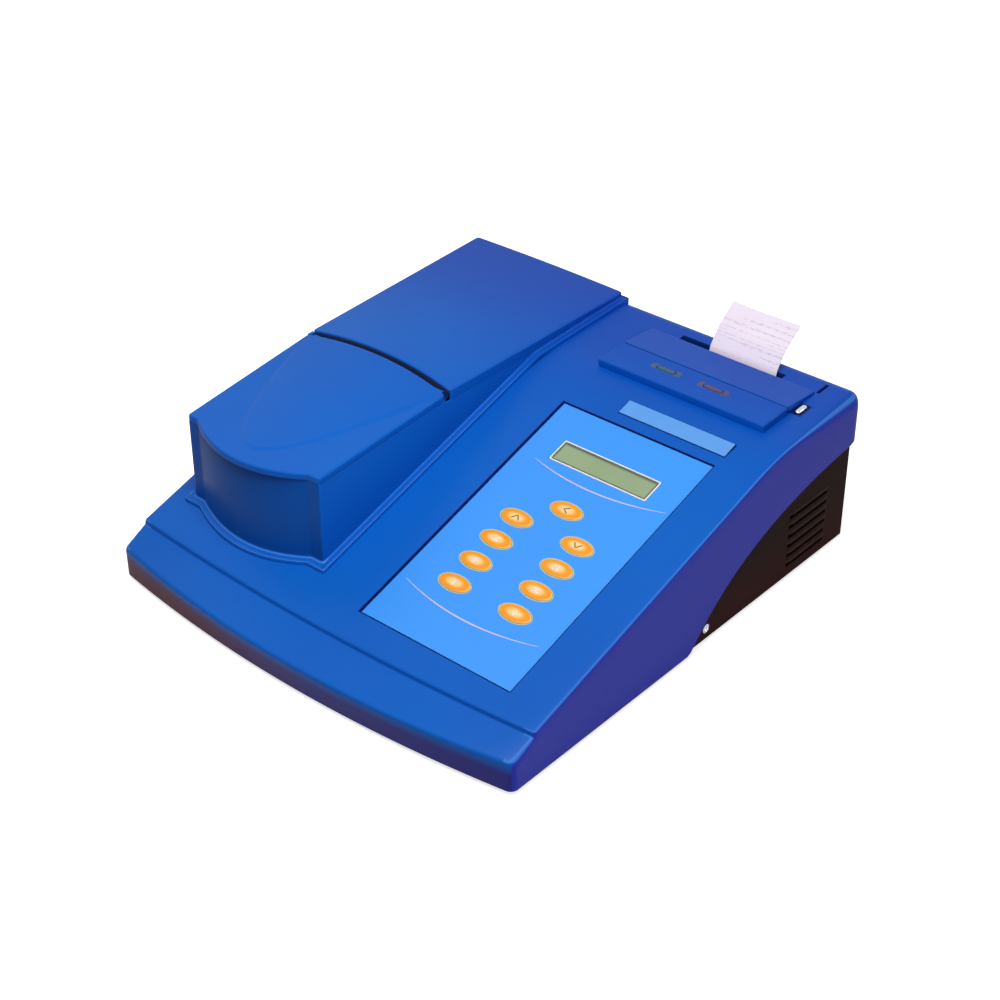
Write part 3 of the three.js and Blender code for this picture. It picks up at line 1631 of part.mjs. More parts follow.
function makeElectronics() {
  const top = boardZ + boardThickness;
  const board = box(
    boardLeftX,
    boardLeftX + boardWidth,
    boardFrontY,
    boardFrontY + boardLength,
    boardZ,
    top,
  );
  const middleX = boardLeftX + boardWidth / 2;
  const middleY = boardFrontY + boardLength / 2;
  const chip = box(
    middleX - chipSide / 2,
    middleX + chipSide / 2,
    middleY - chipSide / 2,
    middleY + chipSide / 2,
    top - boardThickness / 2,
    top + chipHeight,
  );
  place('main_board', board.add(chip), 'board');
  const base = sheet + seatGap;
  const halfW = coreWidth / 2;
  const halfD = coreDepth / 2;
  const coreTop = base + coreHeight;
  const windowLow = base + coreLeg;
  const windowHigh = coreTop - coreLeg;
  const leg = coreLeg;
  let core = box(coreX - halfW, coreX + halfW, coreY - halfD, coreY + halfD, base, coreTop);
  for (const side of [-1, 1]) {
    const inner = coreX + side * leg;
    const outer = coreX + side * (halfW - leg);
    const window = [Math.min(inner, outer), Math.max(inner, outer)];
    core = core.subtract(box(
      ...window,
      coreY - halfD - overrun,
      coreY + halfD + overrun,
      windowLow,
      windowHigh,
    ));
  }
  place('transformer_core', core, 'steel');
  const coilHalf = halfW - leg - seatGap;
  const coilDepth = halfD + coilReach;
  const low = windowLow + seatGap;
  const high = windowHigh - seatGap;
  const block = box(coreX - coilHalf, coreX + coilHalf, coreY - coilDepth, coreY + coilDepth, low, high);
  const inner = leg + seatGap;
  const through = box(
    coreX - inner,
    coreX + inner,
    coreY - halfD - seatGap,
    coreY + halfD + seatGap,
    low - overrun,
    high + overrun,
  );
  place('transformer_coil', block.subtract(through), 'copper');
}

makeCover();
makeHousing();
makeLid();
makeLidGasket();
makePanel();
makePrinterTop();
makeLatch();
makePaperBay();
makePaperStrip();
makePrintHead();
makeChassis();
makeRearPanel();
makeOptics();
makeElectronics();

// Stand the model on z = 0 with the middle of its outer size over the origin
const extent = new THREE.Box3().setFromObject(assembly);
const centre = extent.getCenter(new THREE.Vector3());
assembly.position.set(-centre.x, -centre.y, -extent.min.z);

export default model;
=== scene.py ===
import math

import bmesh
import bpy
import numpy as np
from bpy.props import FloatProperty, FloatVectorProperty, PointerProperty
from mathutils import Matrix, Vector


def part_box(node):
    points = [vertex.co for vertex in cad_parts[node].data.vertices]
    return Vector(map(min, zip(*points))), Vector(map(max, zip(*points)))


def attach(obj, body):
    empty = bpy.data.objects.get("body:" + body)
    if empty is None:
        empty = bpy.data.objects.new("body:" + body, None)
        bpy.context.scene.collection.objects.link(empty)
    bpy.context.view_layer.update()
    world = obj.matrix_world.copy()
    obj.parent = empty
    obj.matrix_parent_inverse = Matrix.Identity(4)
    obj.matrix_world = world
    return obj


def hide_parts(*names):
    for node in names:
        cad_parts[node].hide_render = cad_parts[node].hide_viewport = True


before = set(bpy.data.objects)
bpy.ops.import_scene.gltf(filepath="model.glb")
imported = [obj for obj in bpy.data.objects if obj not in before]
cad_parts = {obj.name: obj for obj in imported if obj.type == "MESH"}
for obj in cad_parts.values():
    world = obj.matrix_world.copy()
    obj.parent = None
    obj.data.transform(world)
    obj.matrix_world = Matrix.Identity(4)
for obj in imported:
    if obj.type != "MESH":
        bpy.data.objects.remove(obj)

bl_info = {
    "name": "Bench turbidity meter",
    "version": (1, 0, 0),
    "blender": (4, 5, 0),
    "location": "View3D > Sidebar > Meter",
    "description": "Surfaces, finishes, light and camera for a bench turbidity meter with a printer",
    "category": "Object",
}

# The drawing's own sizes in millimetres: X to the right, Y to the back, Z up from the tray's underside
HALF_WIDTH = 161.5
FRONT_Y, REAR_Y = -169.8, 169.8
STEP_Y, STEP_RISE = -151.3, 3.0
DECK_FOOT = 31.4
LIP_HEIGHT = 20.0
LIP_BOW, BASE_BOW, STEP_BOW = 16.5, 13.5, 6.0
BOW_FADE = 14.0
DECK_TILT, ROOF_TILT = math.radians(17.31), math.radians(2.5)
CREST_Y = 75.0
CREST_Z = DECK_FOOT + (CREST_Y - STEP_Y) * math.tan(DECK_TILT)
CREST_REACH = 3  # the eased bend reaches this many times the crest size to each side
SKIRT = ((-6.0, 0.0), (25.0, 38.0), (75.0, 64.0), (REAR_Y, 71.33))

HOUSING_RIGHT = -29.5
HOUSING_FRONT, HOUSING_REAR = -122.5, 168.6
HOUSING_FRONT_LEFT, HOUSING_REAR_LEFT = -144.0, -160.0
HOUSING_LINES = (-118, -100, -80, -60, -40, -25, -14, -10.87, -10.83, -8.0, -6.67, -6.63,
                 0, 20, 40, 60, 75, 90, 110, 130, 150)
HOUSING_WALL = 2.5
SHOULDER = 9.5
FRONT_MIDDLE = (HOUSING_RIGHT + HOUSING_FRONT_LEFT) / 2
FRONT_HALF = (HOUSING_RIGHT - HOUSING_FRONT_LEFT) / 2 - SHOULDER
BULGE, LID_BULGE = 11.5, 15.0
BLOCK_CORNER, BLOCK_RIM = 2.5, 1.0
TUNNEL_TOP = 111.53
CROWN, REAR_CROWN = 3.5, 0.8
VAULT_STEP, VAULT_EDGE, VAULT_FADE = 0.7, 2.2, 30
VAULT_APEX = HOUSING_FRONT - LID_BULGE + 13
LID_FRONT_TOP, LID_REAR_TOP = 102.23, 110.63
LID_EDGE = 4.0
GROOVE_Y, GROOVE_HALF, GROOVE_BOW = -8.75, 2.1, 5.0
GROOVE_FLOOR = LID_REAR_TOP - 6.0
LID_SLOPE = (LID_REAR_TOP - LID_FRONT_TOP) / (GROOVE_Y - GROOVE_HALF - HOUSING_FRONT)
WEB = 5.0
HINGE_Z, KNUCKLE = 108.78, 1.7
HOUSING_KNUCKLE, LID_KNUCKLE = (4, 9), (9.35, 14.35)  # from where to where off each wall

PANEL_X, PANEL_T, PANEL_DEPTH = (15.7, 130.7), (15.6, 212.14), 1.8
RECESS_X = (PANEL_X[0] - 0.7, PANEL_X[1])
STRIP_X, STRIP_T = (51.7, 132.8), (221.5, 233.7)
WINDOW_X, WINDOW_T = (36.7, 111.1), (169.2, 186.6)
OVERLAY_TOP = -0.8
KEY_COLUMNS, KEY_TOP_T, KEY_PITCH = (50.5, 97.4), 120.15, 19.67
KEY_MIDDLE = sum(KEY_COLUMNS) / 2
KEY_HALF = (11.3, 5.7)
LINES = ((29.0, 128.0, 159.6), (22.0, 125.0, 41.8))  # x from, x to, lowest place along the deck
LINE_BEND = 0.0028

PRINTER_X = (10.5, 139.0)
PRINTER_FRONT, PRINTER_FLAT, PRINTER_REAR = 91.0, 118.0, 148.6
PRINTER_RISE, PRINTER_REAR_RISE = 5.0, 1.3
BUTTONS = {"printer_button_left": (53.5, 107.0), "printer_button_right": (90.0, 107.0)}
BUTTON_HALF, BUTTON_HOLE, BAR_HALF = (6.8, 1.7), (7.8, 2.6), (11.8, 3.1)
LATCH, LATCH_HALF, LATCH_HOLE = (142.4, 127.0), (2.0, 5.2), (4.2, 7.2)
BAY_X, BAY_Y = (40.6, 120.6), (96.0, 139.5)
SLOT_X, SLOT_Y = (32.0, 112.0), (150.2, 155.2)
SCORE_X, SCORE_Y = (138.7, 140.7), (149.4, 161.6)  # short groove beside the door
PANEL_RIM, STRIP_RIM, SLOT_RIM, SCORE_RIM = 1.15, 0.3, 0.4, 0.2  # how far each sunk rim reaches out
UNDER_HOUSING = ((-141, -33), (-118, 10))  # opening of the cover below the sample compartment
PAPER_X, PAPER_HALF = (54.6, 106.6), 0.15
ROLL_Y, ROLL_DROP, ROLL_RADIUS = 117.75, 21.0, 15.0
PLATEN_Y, PLATEN_DROP, PLATEN_RADIUS = 146.5, 22.0, 5.4

SIDE_X = 158.7
VENTS, VENT_Y, VENT_Z, VENT_PITCH, VENT_HEIGHT = 6, (99.0, 141.0), 7.0, 7.2, 3.6
HOOD_SIDE, HOOD_TOP = 0.8, 1.3  # how far a hood reaches past its vent
SCREW_Y, SCREW_Z, SCREW_RADIUS, SCREW_RISE = 12.4, 8.8, 3.1, 1.5
PIN_PITCH, PIN_ROWS = 2.77, ((5, 1.4), (4, -1.4))  # pins in a row, height of the row

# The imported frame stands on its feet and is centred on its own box
SHIFT = np.array([
    0.0,
    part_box("top_cover")[1].y * 1000 - REAR_Y,
    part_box("base_chassis")[0].z * 1000,
])
KEYS = [(f"key_{side}_{row + 1}", x, KEY_TOP_T - row * KEY_PITCH)
        for side, x in zip(("left", "right"), KEY_COLUMNS) for row in range(4)]
KEYS.append(("key_top", KEY_MIDDLE, KEY_TOP_T + KEY_PITCH))
# Strokes of each key's mark from its middle: arrows on three keys, plain signs on the rest
ARROWS = {
    "key_left_1": [[(-2.4, -1.4), (0, 1.5), (2.4, -1.4)]],
    "key_top": [[(1.6, 2.0), (-1.6, 0), (1.6, -2.0)]],
    "key_right_1": [[(-2.4, 1.4), (0, -1.5), (2.4, 1.4)]],
}
CROSS = [[(-1.7, -1.7), (1.7, 1.7)], [(-1.7, 1.7), (1.7, -1.7)]]
PLUS = [[(-2, 0), (2, 0)], [(0, -1.9), (0, 1.9)]]
SIGNS = {
    "key_left_2": CROSS,
    "key_left_3": [*PLUS, [(-1.4, 1.4), (1.4, 1.4)]],
    "key_left_4": [[(-2, 1.5), (2, 1.5)], [(0, 1.5), (0, -1.9)]],
    "key_right_2": [*CROSS, [(-1.2, 0), (1.2, 0)]],
    "key_right_3": [[(-2, 1.0), (2, 1.0)], [(-2, -1.0), (2, -1.0)], [(0, 1.8), (0, -1.8)]],
    "key_right_4": PLUS,
}


# ---- lines and planes of the case
def level(x, y, z):
    """Points in the drawing's own frame."""
    return np.stack(np.broadcast_arrays(x, y, z), axis=-1)


def box(middle, half):
    """Two ranges, in X and along the slope, round a middle."""
    return (middle[0] - half[0], middle[0] + half[0]), (middle[1] - half[1], middle[1] + half[1])


def grown(ends, by):
    """Range that reaches further at both ends."""
    return ends[0] - by, ends[1] + by


def mm(length):
    """Millimetres of a length property."""
    return length * 1000


def skin_z(y):
    """Height of deck and roof: a slope up to the crest, then a gentler one."""
    deck = DECK_FOOT + (y - STEP_Y) * math.tan(DECK_TILT)
    roof = CREST_Z + (y - CREST_Y) * math.tan(ROOF_TILT)
    return np.minimum(deck, roof)


def tilted(x, along, out, start_y, start_z, tilt):
    """Point on a tilted plane: along runs up the slope and out leaves it at a right angle."""
    y = start_y + along * math.cos(tilt) - out * math.sin(tilt)
    z = start_z + along * math.sin(tilt) + out * math.cos(tilt)
    return level(x, y, z)


def on_deck(x, along, out=0.0):
    """Deck plane, measured from the step."""
    return tilted(x, along, out, STEP_Y, DECK_FOOT, DECK_TILT)


def on_roof(x, y, out=0.0):
    """Roof plane, measured by the depth y."""
    return tilted(x, (y - CREST_Y) / math.cos(ROOF_TILT), out, CREST_Y, CREST_Z, ROOF_TILT)


def left_wall(y):
    """The tunnel's left wall flares in a straight line from front to rear."""
    share = (y - HOUSING_FRONT) / (HOUSING_REAR - HOUSING_FRONT)
    return HOUSING_FRONT_LEFT + (HOUSING_REAR_LEFT - HOUSING_FRONT_LEFT) * share


GROOVE_LEFT = left_wall(GROOVE_Y)


def across(x, y):
    """Share across the tunnel: -1 at its left wall, 1 at its right wall."""
    left = left_wall(y)
    return (x - (left + HOUSING_RIGHT) / 2) / ((HOUSING_RIGHT - left) / 2)


def groove(x, offset):
    """Groove line: a parabola in plan that bows to the back in the middle."""
    return GROOVE_Y + offset + GROOVE_BOW * (1 - np.minimum(1, np.abs(across(x, GROOVE_Y))) ** 2)


def front_line(x, bulge):
    """Front of housing or lid: two flat shoulders and a parabola between them."""
    return HOUSING_FRONT - bulge * (1 - np.minimum(1, np.abs((x - FRONT_MIDDLE) / FRONT_HALF)) ** 2)


def lid_plane(y):
    """The lid's top without its vault: a slope that rises to the groove."""
    return LID_FRONT_TOP + (y - HOUSING_FRONT) * LID_SLOPE


def lid_top(x, y):
    """Sloping plane plus a vault, crown * max(0, rise) with rise = along - across^2, in a small step.

    The step is as wide everywhere: the distance to the vault's line is rise divided by the length of
    its gradient. It fades out before the groove, so that the lid's rear edge turns clear of the block.
    """
    share = across(x, y)
    along = (y - VAULT_APEX) / (GROOVE_Y - VAULT_APEX)
    rise = np.minimum(along, 1) - share ** 2
    steepness = np.hypot(1 / (GROOVE_Y - VAULT_APEX), 4 * share / (HOUSING_RIGHT - left_wall(y)))
    edge = np.clip(rise / steepness / VAULT_EDGE, 0, 1)
    fade = np.clip((GROOVE_Y - 5 - y) / VAULT_FADE, 0, 1)
    vault = CROWN * np.maximum(0, rise) + VAULT_STEP * fade * edge ** 2 * (3 - 2 * edge)
    return lid_plane(y) + vault


def tunnel_roof(x, y):
    """Level roof plus a crown that fades from the groove to the rear."""
    back = np.clip((y - GROOVE_Y) / (HOUSING_REAR - GROOVE_Y), 0, 1)
    height = CROWN + (REAR_CROWN - CROWN) * back
    return TUNNEL_TOP + height * np.maximum(0, 1 - across(x, y) ** 2)


def rear_sink(y):
    """How much deeper the housing reaches at the rear, where the cover's edge is rounded away."""
    return 8.0 * np.clip((y - (REAR_Y - 14)) / 6, 0, 1)


def edge_sink(x, y):
    """The same for the flange, which also runs over the cover's rounded left edge."""
    return np.maximum(rear_sink(y), 6.5 * np.clip((-x - (HALF_WIDTH - 9)) / 5, 0, 1))


# ---- paths and loops in plan
def to_the_right(run):
    """Unit vectors in plan at a right angle to the given runs: outward on an anticlockwise loop."""
    side = np.stack([run[:, 1], -run[:, 0]], axis=1)
    return side / np.linalg.norm(side, axis=1)[:, None]


def arcs(points, before, after, radii, steps):
    """One parabola for each corner, between points a radius from it towards its two neighbours."""
    back, ahead = before - points, after - points
    back_length, ahead_length = np.linalg.norm(back, axis=1), np.linalg.norm(ahead, axis=1)
    reach = np.minimum(radii, 0.48 * np.minimum(back_length, ahead_length))
    start = (points + back / back_length[:, None] * reach[:, None])[:, None]
    end = (points + ahead / ahead_length[:, None] * reach[:, None])[:, None]
    t = np.linspace(0, 1, steps)[None, :, None]
    return start * (1 - t) ** 2 + 2 * points[:, None] * t * (1 - t) + end * t ** 2


def ease(points, radii):
    """Closed path with its corners eased to parabolas, without points that fall together."""
    flat = arcs(points, np.roll(points, 1, axis=0), np.roll(points, -1, axis=0), radii, 6).reshape(-1, 2)
    keep = np.linalg.norm(flat - np.roll(flat, 1, axis=0), axis=1) > 1e-4
    keep[0] = True
    return flat[keep]


def ease_with_share(points, radii, steps=9, width=0.06):
    """Open path with eased corners, and a share for each point: 0 to 1 on the first line, and so on."""
    curve = arcs(points[1:-1], points[:-2], points[2:], radii[1:-1], steps)
    share = np.arange(1, len(points) - 1)[:, None] + np.linspace(-width, width, steps)[None]
    path = np.concatenate([points[:1], curve.reshape(-1, 2), points[-1:]])
    return path, np.concatenate([[0], share.ravel(), [len(points) - 1]])


def inset(points, depths):
    """Moves each corner of an open path inward: by its depth off both lines that meet there."""
    inward = to_the_right(np.diff(points, axis=0))
    before, after = np.concatenate([inward[:1], inward]), np.concatenate([inward, inward[-1:]])
    return points + (before + after) * (depths / (1 + np.sum(before * after, axis=1)))[:, None]


def points_at(where, share, path):
    """Coordinates of a path at the given shares of it, one row for each."""
    return np.stack([np.interp(where, share, column) for column in path.T])


def fill_in(marks, even, apart):
    """Grid lines: every mark, and the even lines that keep their distance from the marks."""
    far = np.min(np.abs(even[:, None] - marks[None]), axis=1) > apart
    return np.unique(np.concatenate([marks, even[far]]))


def grid_lines(low, high, pitch, marks=()):
    """Grid lines between two values: evenly spaced, with a line at each mark."""
    return fill_in(np.array([low, high, *marks]), np.arange(low, high, pitch), pitch / 3)


def outside(x, y, openings):
    """Mask of a grid's cells whose middles lie in none of the openings, each a range in x and one in y."""
    x, y = (x[:-1, :-1] + x[:-1, 1:]) / 2, (y[:-1, :-1] + y[1:, :-1]) / 2
    inside = [(x > x0) & (x < x1) & (y > y0) & (y < y1) for (x0, x1), (y0, y1) in openings]
    return ~np.any(inside, axis=0)


def rounded(x, y, radius, grow=0.0, steps=7):
    """Rounded rectangle, anticlockwise: four quarter circles, joined by straight lines."""
    (x0, x1), (y0, y1) = grown(x, grow), grown(y, grow)
    radius = min(radius, (x1 - x0) / 2 - 1e-3, (y1 - y0) / 2 - 1e-3)
    turn = np.linspace(0, math.pi / 2, steps)[None] + np.arange(4)[:, None] * math.pi / 2
    middle_x = np.array([[x1 - radius], [x0 + radius], [x0 + radius], [x1 - radius]])
    middle_y = np.array([[y1 - radius], [y1 - radius], [y0 + radius], [y0 + radius]])
    loop = [middle_x + radius * np.cos(turn), middle_y + radius * np.sin(turn)]
    return np.stack(loop, axis=-1).reshape(-1, 2)


def circles(radii, sides):
    """Points of circles round the origin, one row for each radius."""
    turn = np.linspace(0, 2 * math.pi, sides, endpoint=False)[None]
    radii = np.array(radii)[:, None]
    return radii * np.cos(turn), radii * np.sin(turn)


def oval(x, y, half_x, half_y):
    """Ellipse in plan: its half lengths times cosine and sine of an even turn."""
    return np.stack([x + circles([half_x], 48)[0][0], y + circles([half_y], 48)[1][0]], axis=1)


def border(x, y, fan=6):
    """Closed loop round a patch, given as grids, and its outward normals, which fan out at corners."""
    grid = np.stack([x, y], axis=-1)
    sides = [grid[0], grid[:, -1], grid[-1, ::-1], grid[::-1, 0]]
    normals = [to_the_right(np.gradient(side, axis=0)) for side in sides]
    t = np.linspace(0, 1, fan + 2)[1:-1, None]
    loop, out = [], []
    for k, side in enumerate(sides):
        turning = normals[k][-1] * (1 - t) + normals[(k + 1) % 4][0] * t
        loop += [side, np.repeat(side[-1:], fan, axis=0)]
        out += [normals[k], turning / np.linalg.norm(turning, axis=1)[:, None]]
    return np.concatenate(loop), np.concatenate(out)


# ---- surfaces from grids
def sheet(points, rows=False, columns=False, keep=None):
    """A grid of points, closed on itself along rows or columns if asked, and a mask of its cells."""
    return points, rows, columns, keep


def pile(place, shapes, low=False, high=False):
    """Closed loops one above the other: shapes lists (loop, height).

    With low or high that end is closed: one more loop has all its points in the middle of the last one.
    """
    def closing(loop, height):
        return np.broadcast_to((loop.max(axis=0) + loop.min(axis=0)) / 2, loop.shape), height

    shapes = [closing(*shapes[0])] * low + list(shapes) + [closing(*shapes[-1])] * high
    return sheet(np.stack([place(*loop.T, height) for loop, height in shapes]), columns=True)


def stepped(x, y, place, steps, lift=0.0, **ends):
    """Pile of rounded rectangles: steps lists (grow, radius, height above lift)."""
    shapes = [(rounded(x, y, radius, grow), lift + height) for grow, radius, height in steps]
    return pile(place, shapes, **ends)


def cushion(x, y, top, foot, corner, rim, under=None, lip=0.0, keep=None, place=level):
    """A plate with a rounded rim.

    x and y are the plan grids of its flat part; top and foot give heights from plan points. Round the
    flat part run loops that leave it by an offset, first level up to corner - rim, then on a quarter
    circle of radius rim, then down to foot. With under, the plate is closed below at top - under,
    inside a lip of that width.
    """
    loop, out = border(x, y)

    def ring(offset, height, drop=0.0):
        a, b = (loop + out * offset).T
        return place(a, b, height(a, b) - drop)

    turn = np.linspace(0, math.pi / 2, 5)
    bend = zip(corner - rim + rim * np.cos(turn), rim * (1 - np.sin(turn)))
    rows = [ring(corner, foot), *[ring(offset, top, drop) for offset, drop in bend], ring(0.0, top)]
    sheets = [sheet(place(x, y, top(x, y)), keep=keep)]
    if under is not None:
        inner = corner - lip
        rows = [ring(0.0, top, under), ring(inner, top, under), ring(inner, foot), *rows]
        sheets.append(sheet(place(x, y, top(x, y) - under)[:, ::-1]))
    return [*sheets, sheet(np.stack(rows), columns=True)]


def rod(x0, x1, y, z, radius, chamfer=0.2):
    """Round bar along X: circles carried along it, shrunk to a point at both ends."""
    stations = np.array([x0, x0, x0 + chamfer, x1 - chamfer, x1, x1])[:, None]
    a, b = circles([0, radius - chamfer, radius, radius, radius - chamfer, 0], 24)
    return sheet(level(stations, y + a, z + b), columns=True)


def brick(x, y, z, radius=0.4):
    """Rounded block: loops in plan that shrink at top and bottom, closed in the middle."""
    full, small = rounded(x, y, radius), rounded(x, y, radius, -radius * 0.8)
    shapes = [(small, z[0]), (full, z[0] + radius), (full, z[1] - radius), (small, z[1])]
    return pile(level, shapes, low=True, high=True)


def ribbon(path, width, low, high, place):
    """Thin raised line: a flat profile of the given width carried along a path, closed at its ends."""
    side = -to_the_right(np.gradient(path, axis=0)) * np.broadcast_to(width, len(path))[:, None] / 2
    path = np.concatenate([path[:1], path, path[-1:]])
    side = np.concatenate([side[:1] * 0, side, side[-1:] * 0])
    columns = [(path + side, low), (path + side, high), (path - side, high), (path - side, low)]
    return sheet(np.stack([place(*p.T, height) for p, height in columns], axis=1), columns=True)


def cells(grid, rows, columns):
    """The four corners of each cell of a grid, with the cells over its seam where it is closed."""
    right = np.roll(grid, -1, axis=1)
    four = np.stack([grid, right, np.roll(right, -1, axis=0), np.roll(grid, -1, axis=0)], axis=2)
    return four[:None if rows else -1, :None if columns else -1]


def shade(mesh, sharp):
    """Smooth shading, with the edges kept sharp that turn by more than an angle in degrees."""
    mesh.shade_smooth()
    mesh.set_sharp_from_angle(angle=math.radians(sharp))


def add_object(name, data):
    """New object of the scene that shows a mesh, lamp or camera."""
    made = bpy.data.objects.new(name, data)
    bpy.context.scene.collection.objects.link(made)
    return made


def add_piece(name, sheets, look, body="case", replaces=(), sharp=38, solid=False):
    """Makes one mesh of the sheets, welds and shades it, and lets it ride on its body."""
    verts, quads, uvs = [], [], []
    start = 0
    for points, wrap_rows, wrap_columns, keep in sheets:
        rows, columns = points.shape[:2]
        index = start + np.arange(rows * columns).reshape(rows, columns)
        start += index.size
        uv = np.stack(np.meshgrid(np.linspace(0, 1, columns), np.linspace(0, 1, rows)), axis=-1)
        mask = slice(None) if keep is None else keep
        verts.append(points.reshape(-1, 3))
        quads.append(cells(index, wrap_rows, wrap_columns)[mask].reshape(-1, 4))
        uvs.append(cells(uv, wrap_rows, wrap_columns)[mask].reshape(-1, 2))
    used, quads = np.unique(np.concatenate(quads), return_inverse=True)
    verts = (np.concatenate(verts)[used] + SHIFT) / 1000
    mesh = bpy.data.meshes.new(name)
    mesh.from_pydata(verts.tolist(), [], quads.reshape(-1, 4).tolist())
    layer = mesh.uv_layers.new(name="surface")
    layer.data.foreach_set("uv", np.concatenate(uvs).astype(np.float32).ravel())
    work = bmesh.new()
    work.from_mesh(mesh)
    bmesh.ops.remove_doubles(work, verts=work.verts, dist=2e-6)
    bmesh.ops.dissolve_degenerate(work, edges=work.edges, dist=1e-6)
    if solid:
        bmesh.ops.recalc_face_normals(work, faces=work.faces)
    work.to_mesh(mesh)
    work.free()
    shade(mesh, sharp)
    mesh.materials.append(finish(look))
    piece = add_object(name, mesh)
    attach(piece, body)
    if replaces:
        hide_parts(*replaces)
    return piece


def thicken(piece, thickness):
    """Gives an open shell its wall inward, and marks the sharp edges of the whole again."""
    wall = piece.modifiers.new("wall", "SOLIDIFY")
    wall.thickness = thickness
    wall.offset = -1
    wall.use_rim = True
    depsgraph = bpy.context.evaluated_depsgraph_get()
    thick = bpy.data.meshes.new_from_object(piece.evaluated_get(depsgraph))
    piece.modifiers.remove(wall)
    piece.data = thick
    shade(thick, 35)


# ---- finishes
def wire(tree, node, inputs):
    """Sets each named or numbered input of a node: links an output to it, or writes a value."""
    for name, value in inputs.items():
        if isinstance(value, bpy.types.NodeSocket):
            tree.links.new(value, node.inputs[name])
        else:
            node.inputs[name].default_value = value


def add_node(tree, kind, inputs, **settings):
    """New shader node with its settings made and its inputs wired."""
    node = tree.nodes.new("ShaderNode" + kind)
    for name, value in settings.items():
        setattr(node, name, value)
    wire(tree, node, inputs)
    return node


def calculate(tree, operation, *values):
    """Value worked out from others by one sum, product or the like."""
    return add_node(tree, "Math", dict(enumerate(values)), operation=operation).outputs[0]


def mixed(tree, factor, first, second):
    """Colour between two colours: the first where the factor is 0, the second where it is 1."""
    inputs = {0: factor, 6: first, 7: second}
    return add_node(tree, "Mix", inputs, data_type="RGBA").outputs[2]


def noise(tree, place, scale, detail):
    """Cloudy value round a half, which varies with a place; a larger scale makes it finer."""
    inputs = {"Vector": place, "Scale": scale, "Detail": detail}
    return add_node(tree, "TexNoise", inputs).outputs["Fac"]


def ramp(tree, value, low, high, top=1.0):
    """Value that runs smoothly from 0 at low to top at high."""
    inputs = {"Value": value, "From Min": low, "From Max": high, "To Max": top}
    return add_node(tree, "MapRange", inputs, interpolation_type="SMOOTHSTEP").outputs["Result"]


def coordinate(tree, axis, source="Object"):
    """One coordinate of the piece's own place, surface or facing."""
    place = add_node(tree, "TexCoord", {}).outputs[source]
    return add_node(tree, "SeparateXYZ", {0: place}).outputs[axis]


def tone(rgb):
    """Screen colour, 0 to 255, as the light values that the shader reads."""
    value = np.array(rgb, float) / 255
    linear = np.where(value <= 0.04045, value / 12.92, ((value + 0.055) / 1.055) ** 2.4)
    return (*linear.tolist(), 1.0)


def make_finish(name, base, second, cloud, grain, rough, bump, spread=0.08, depth=0.0002, metallic=0.0,
                specular=0.5, coat=0.0, coat_rough=0.15, transmission=0.0, ior=1.5):
    """Colour clouded between two tones; a fine grain drives roughness and bump. All on Object places."""
    material = bpy.data.materials.new(name)
    material.use_nodes = True
    tree = material.node_tree
    place = add_node(tree, "TexCoord", {}).outputs["Object"]
    fine = noise(tree, place, grain, 2)
    ends = {"Value": fine, "To Min": max(0.02, rough - spread), "To Max": min(1.0, rough + spread)}
    relief = {"Height": fine, "Strength": bump, "Distance": depth}
    wire(tree, tree.nodes["Principled BSDF"], {
        "Base Color": mixed(tree, noise(tree, place, cloud, 4), tone(base), tone(second)),
        "Roughness": add_node(tree, "MapRange", ends).outputs["Result"],
        "Normal": add_node(tree, "Bump", relief).outputs["Normal"],
        "Metallic": metallic,
        "Specular IOR Level": specular,
        "Coat Weight": coat,
        "Coat Roughness": coat_rough,
        "Transmission Weight": transmission,
        "IOR": ior,
    })
    return material


def add_colour(tree, value, low, high, colour, amount=1.0):
    """Lays a colour over the finish where a value runs from low to high."""
    shader = tree.nodes["Principled BSDF"]
    under = shader.inputs["Base Color"].links[0].from_socket
    over = mixed(tree, ramp(tree, value, low, high, amount), under, tone(colour))
    wire(tree, shader, {"Base Color": over})


def edge_band(tree):
    """1 on a rounded edge, where the surface faces between upwards and sideways, and 0 elsewhere."""
    facing = coordinate(tree, "Z", "Normal")
    return calculate(tree, "MULTIPLY", ramp(tree, facing, 0.52, 0.66), ramp(tree, facing, 0.93, 0.82))


def add_painted_shade_and_highlight(tree):
    """Painted shade on upright faces: violet on the side walls evenly, darker and redder to the left on the
    lip's front.

    A painted highlight makes the cover's side edges a little brighter.
    """
    x = coordinate(tree, "X")
    side = calculate(tree, "ABSOLUTE", x)
    upright = ramp(tree, coordinate(tree, "Z", "Normal"), 0.62, 0.3)
    # Masks of painted shade on the lip's front and the side walls, and of a painted highlight on the side
    # edges
    lip = calculate(tree, "MULTIPLY", ramp(tree, coordinate(tree, "Z"), 0.0225, 0.0125), upright)
    wall = calculate(tree, "MULTIPLY", ramp(tree, side, 0.1592, 0.1608), upright)
    red_shade = calculate(tree, "MULTIPLY", lip, ramp(tree, x, 0.06, -0.13))
    painted_highlight = calculate(tree, "MULTIPLY", edge_band(tree), ramp(tree, side, 0.1535, 0.1555))
    for value, colour, amount in ((lip, (46, 44, 140), 1.0), (red_shade, (84, 0, 36), 0.95),
                                  (wall, (44, 54, 190), 1.0), (painted_highlight, (84, 146, 240), 0.45)):
        add_colour(tree, value, 0.0, 1.0, colour, amount)


def add_painted_edge_highlights(tree):
    """Painted highlights: the flange's rounded edges are lighter, up to the crest."""
    before_crest = ramp(tree, coordinate(tree, "Y"), CREST_Y / 1000 + 0.01, CREST_Y / 1000 - 0.03)
    edges = calculate(tree, "MULTIPLY", edge_band(tree), before_crest)
    add_colour(tree, edges, 0.0, 1.0, (96, 156, 242), 0.45)


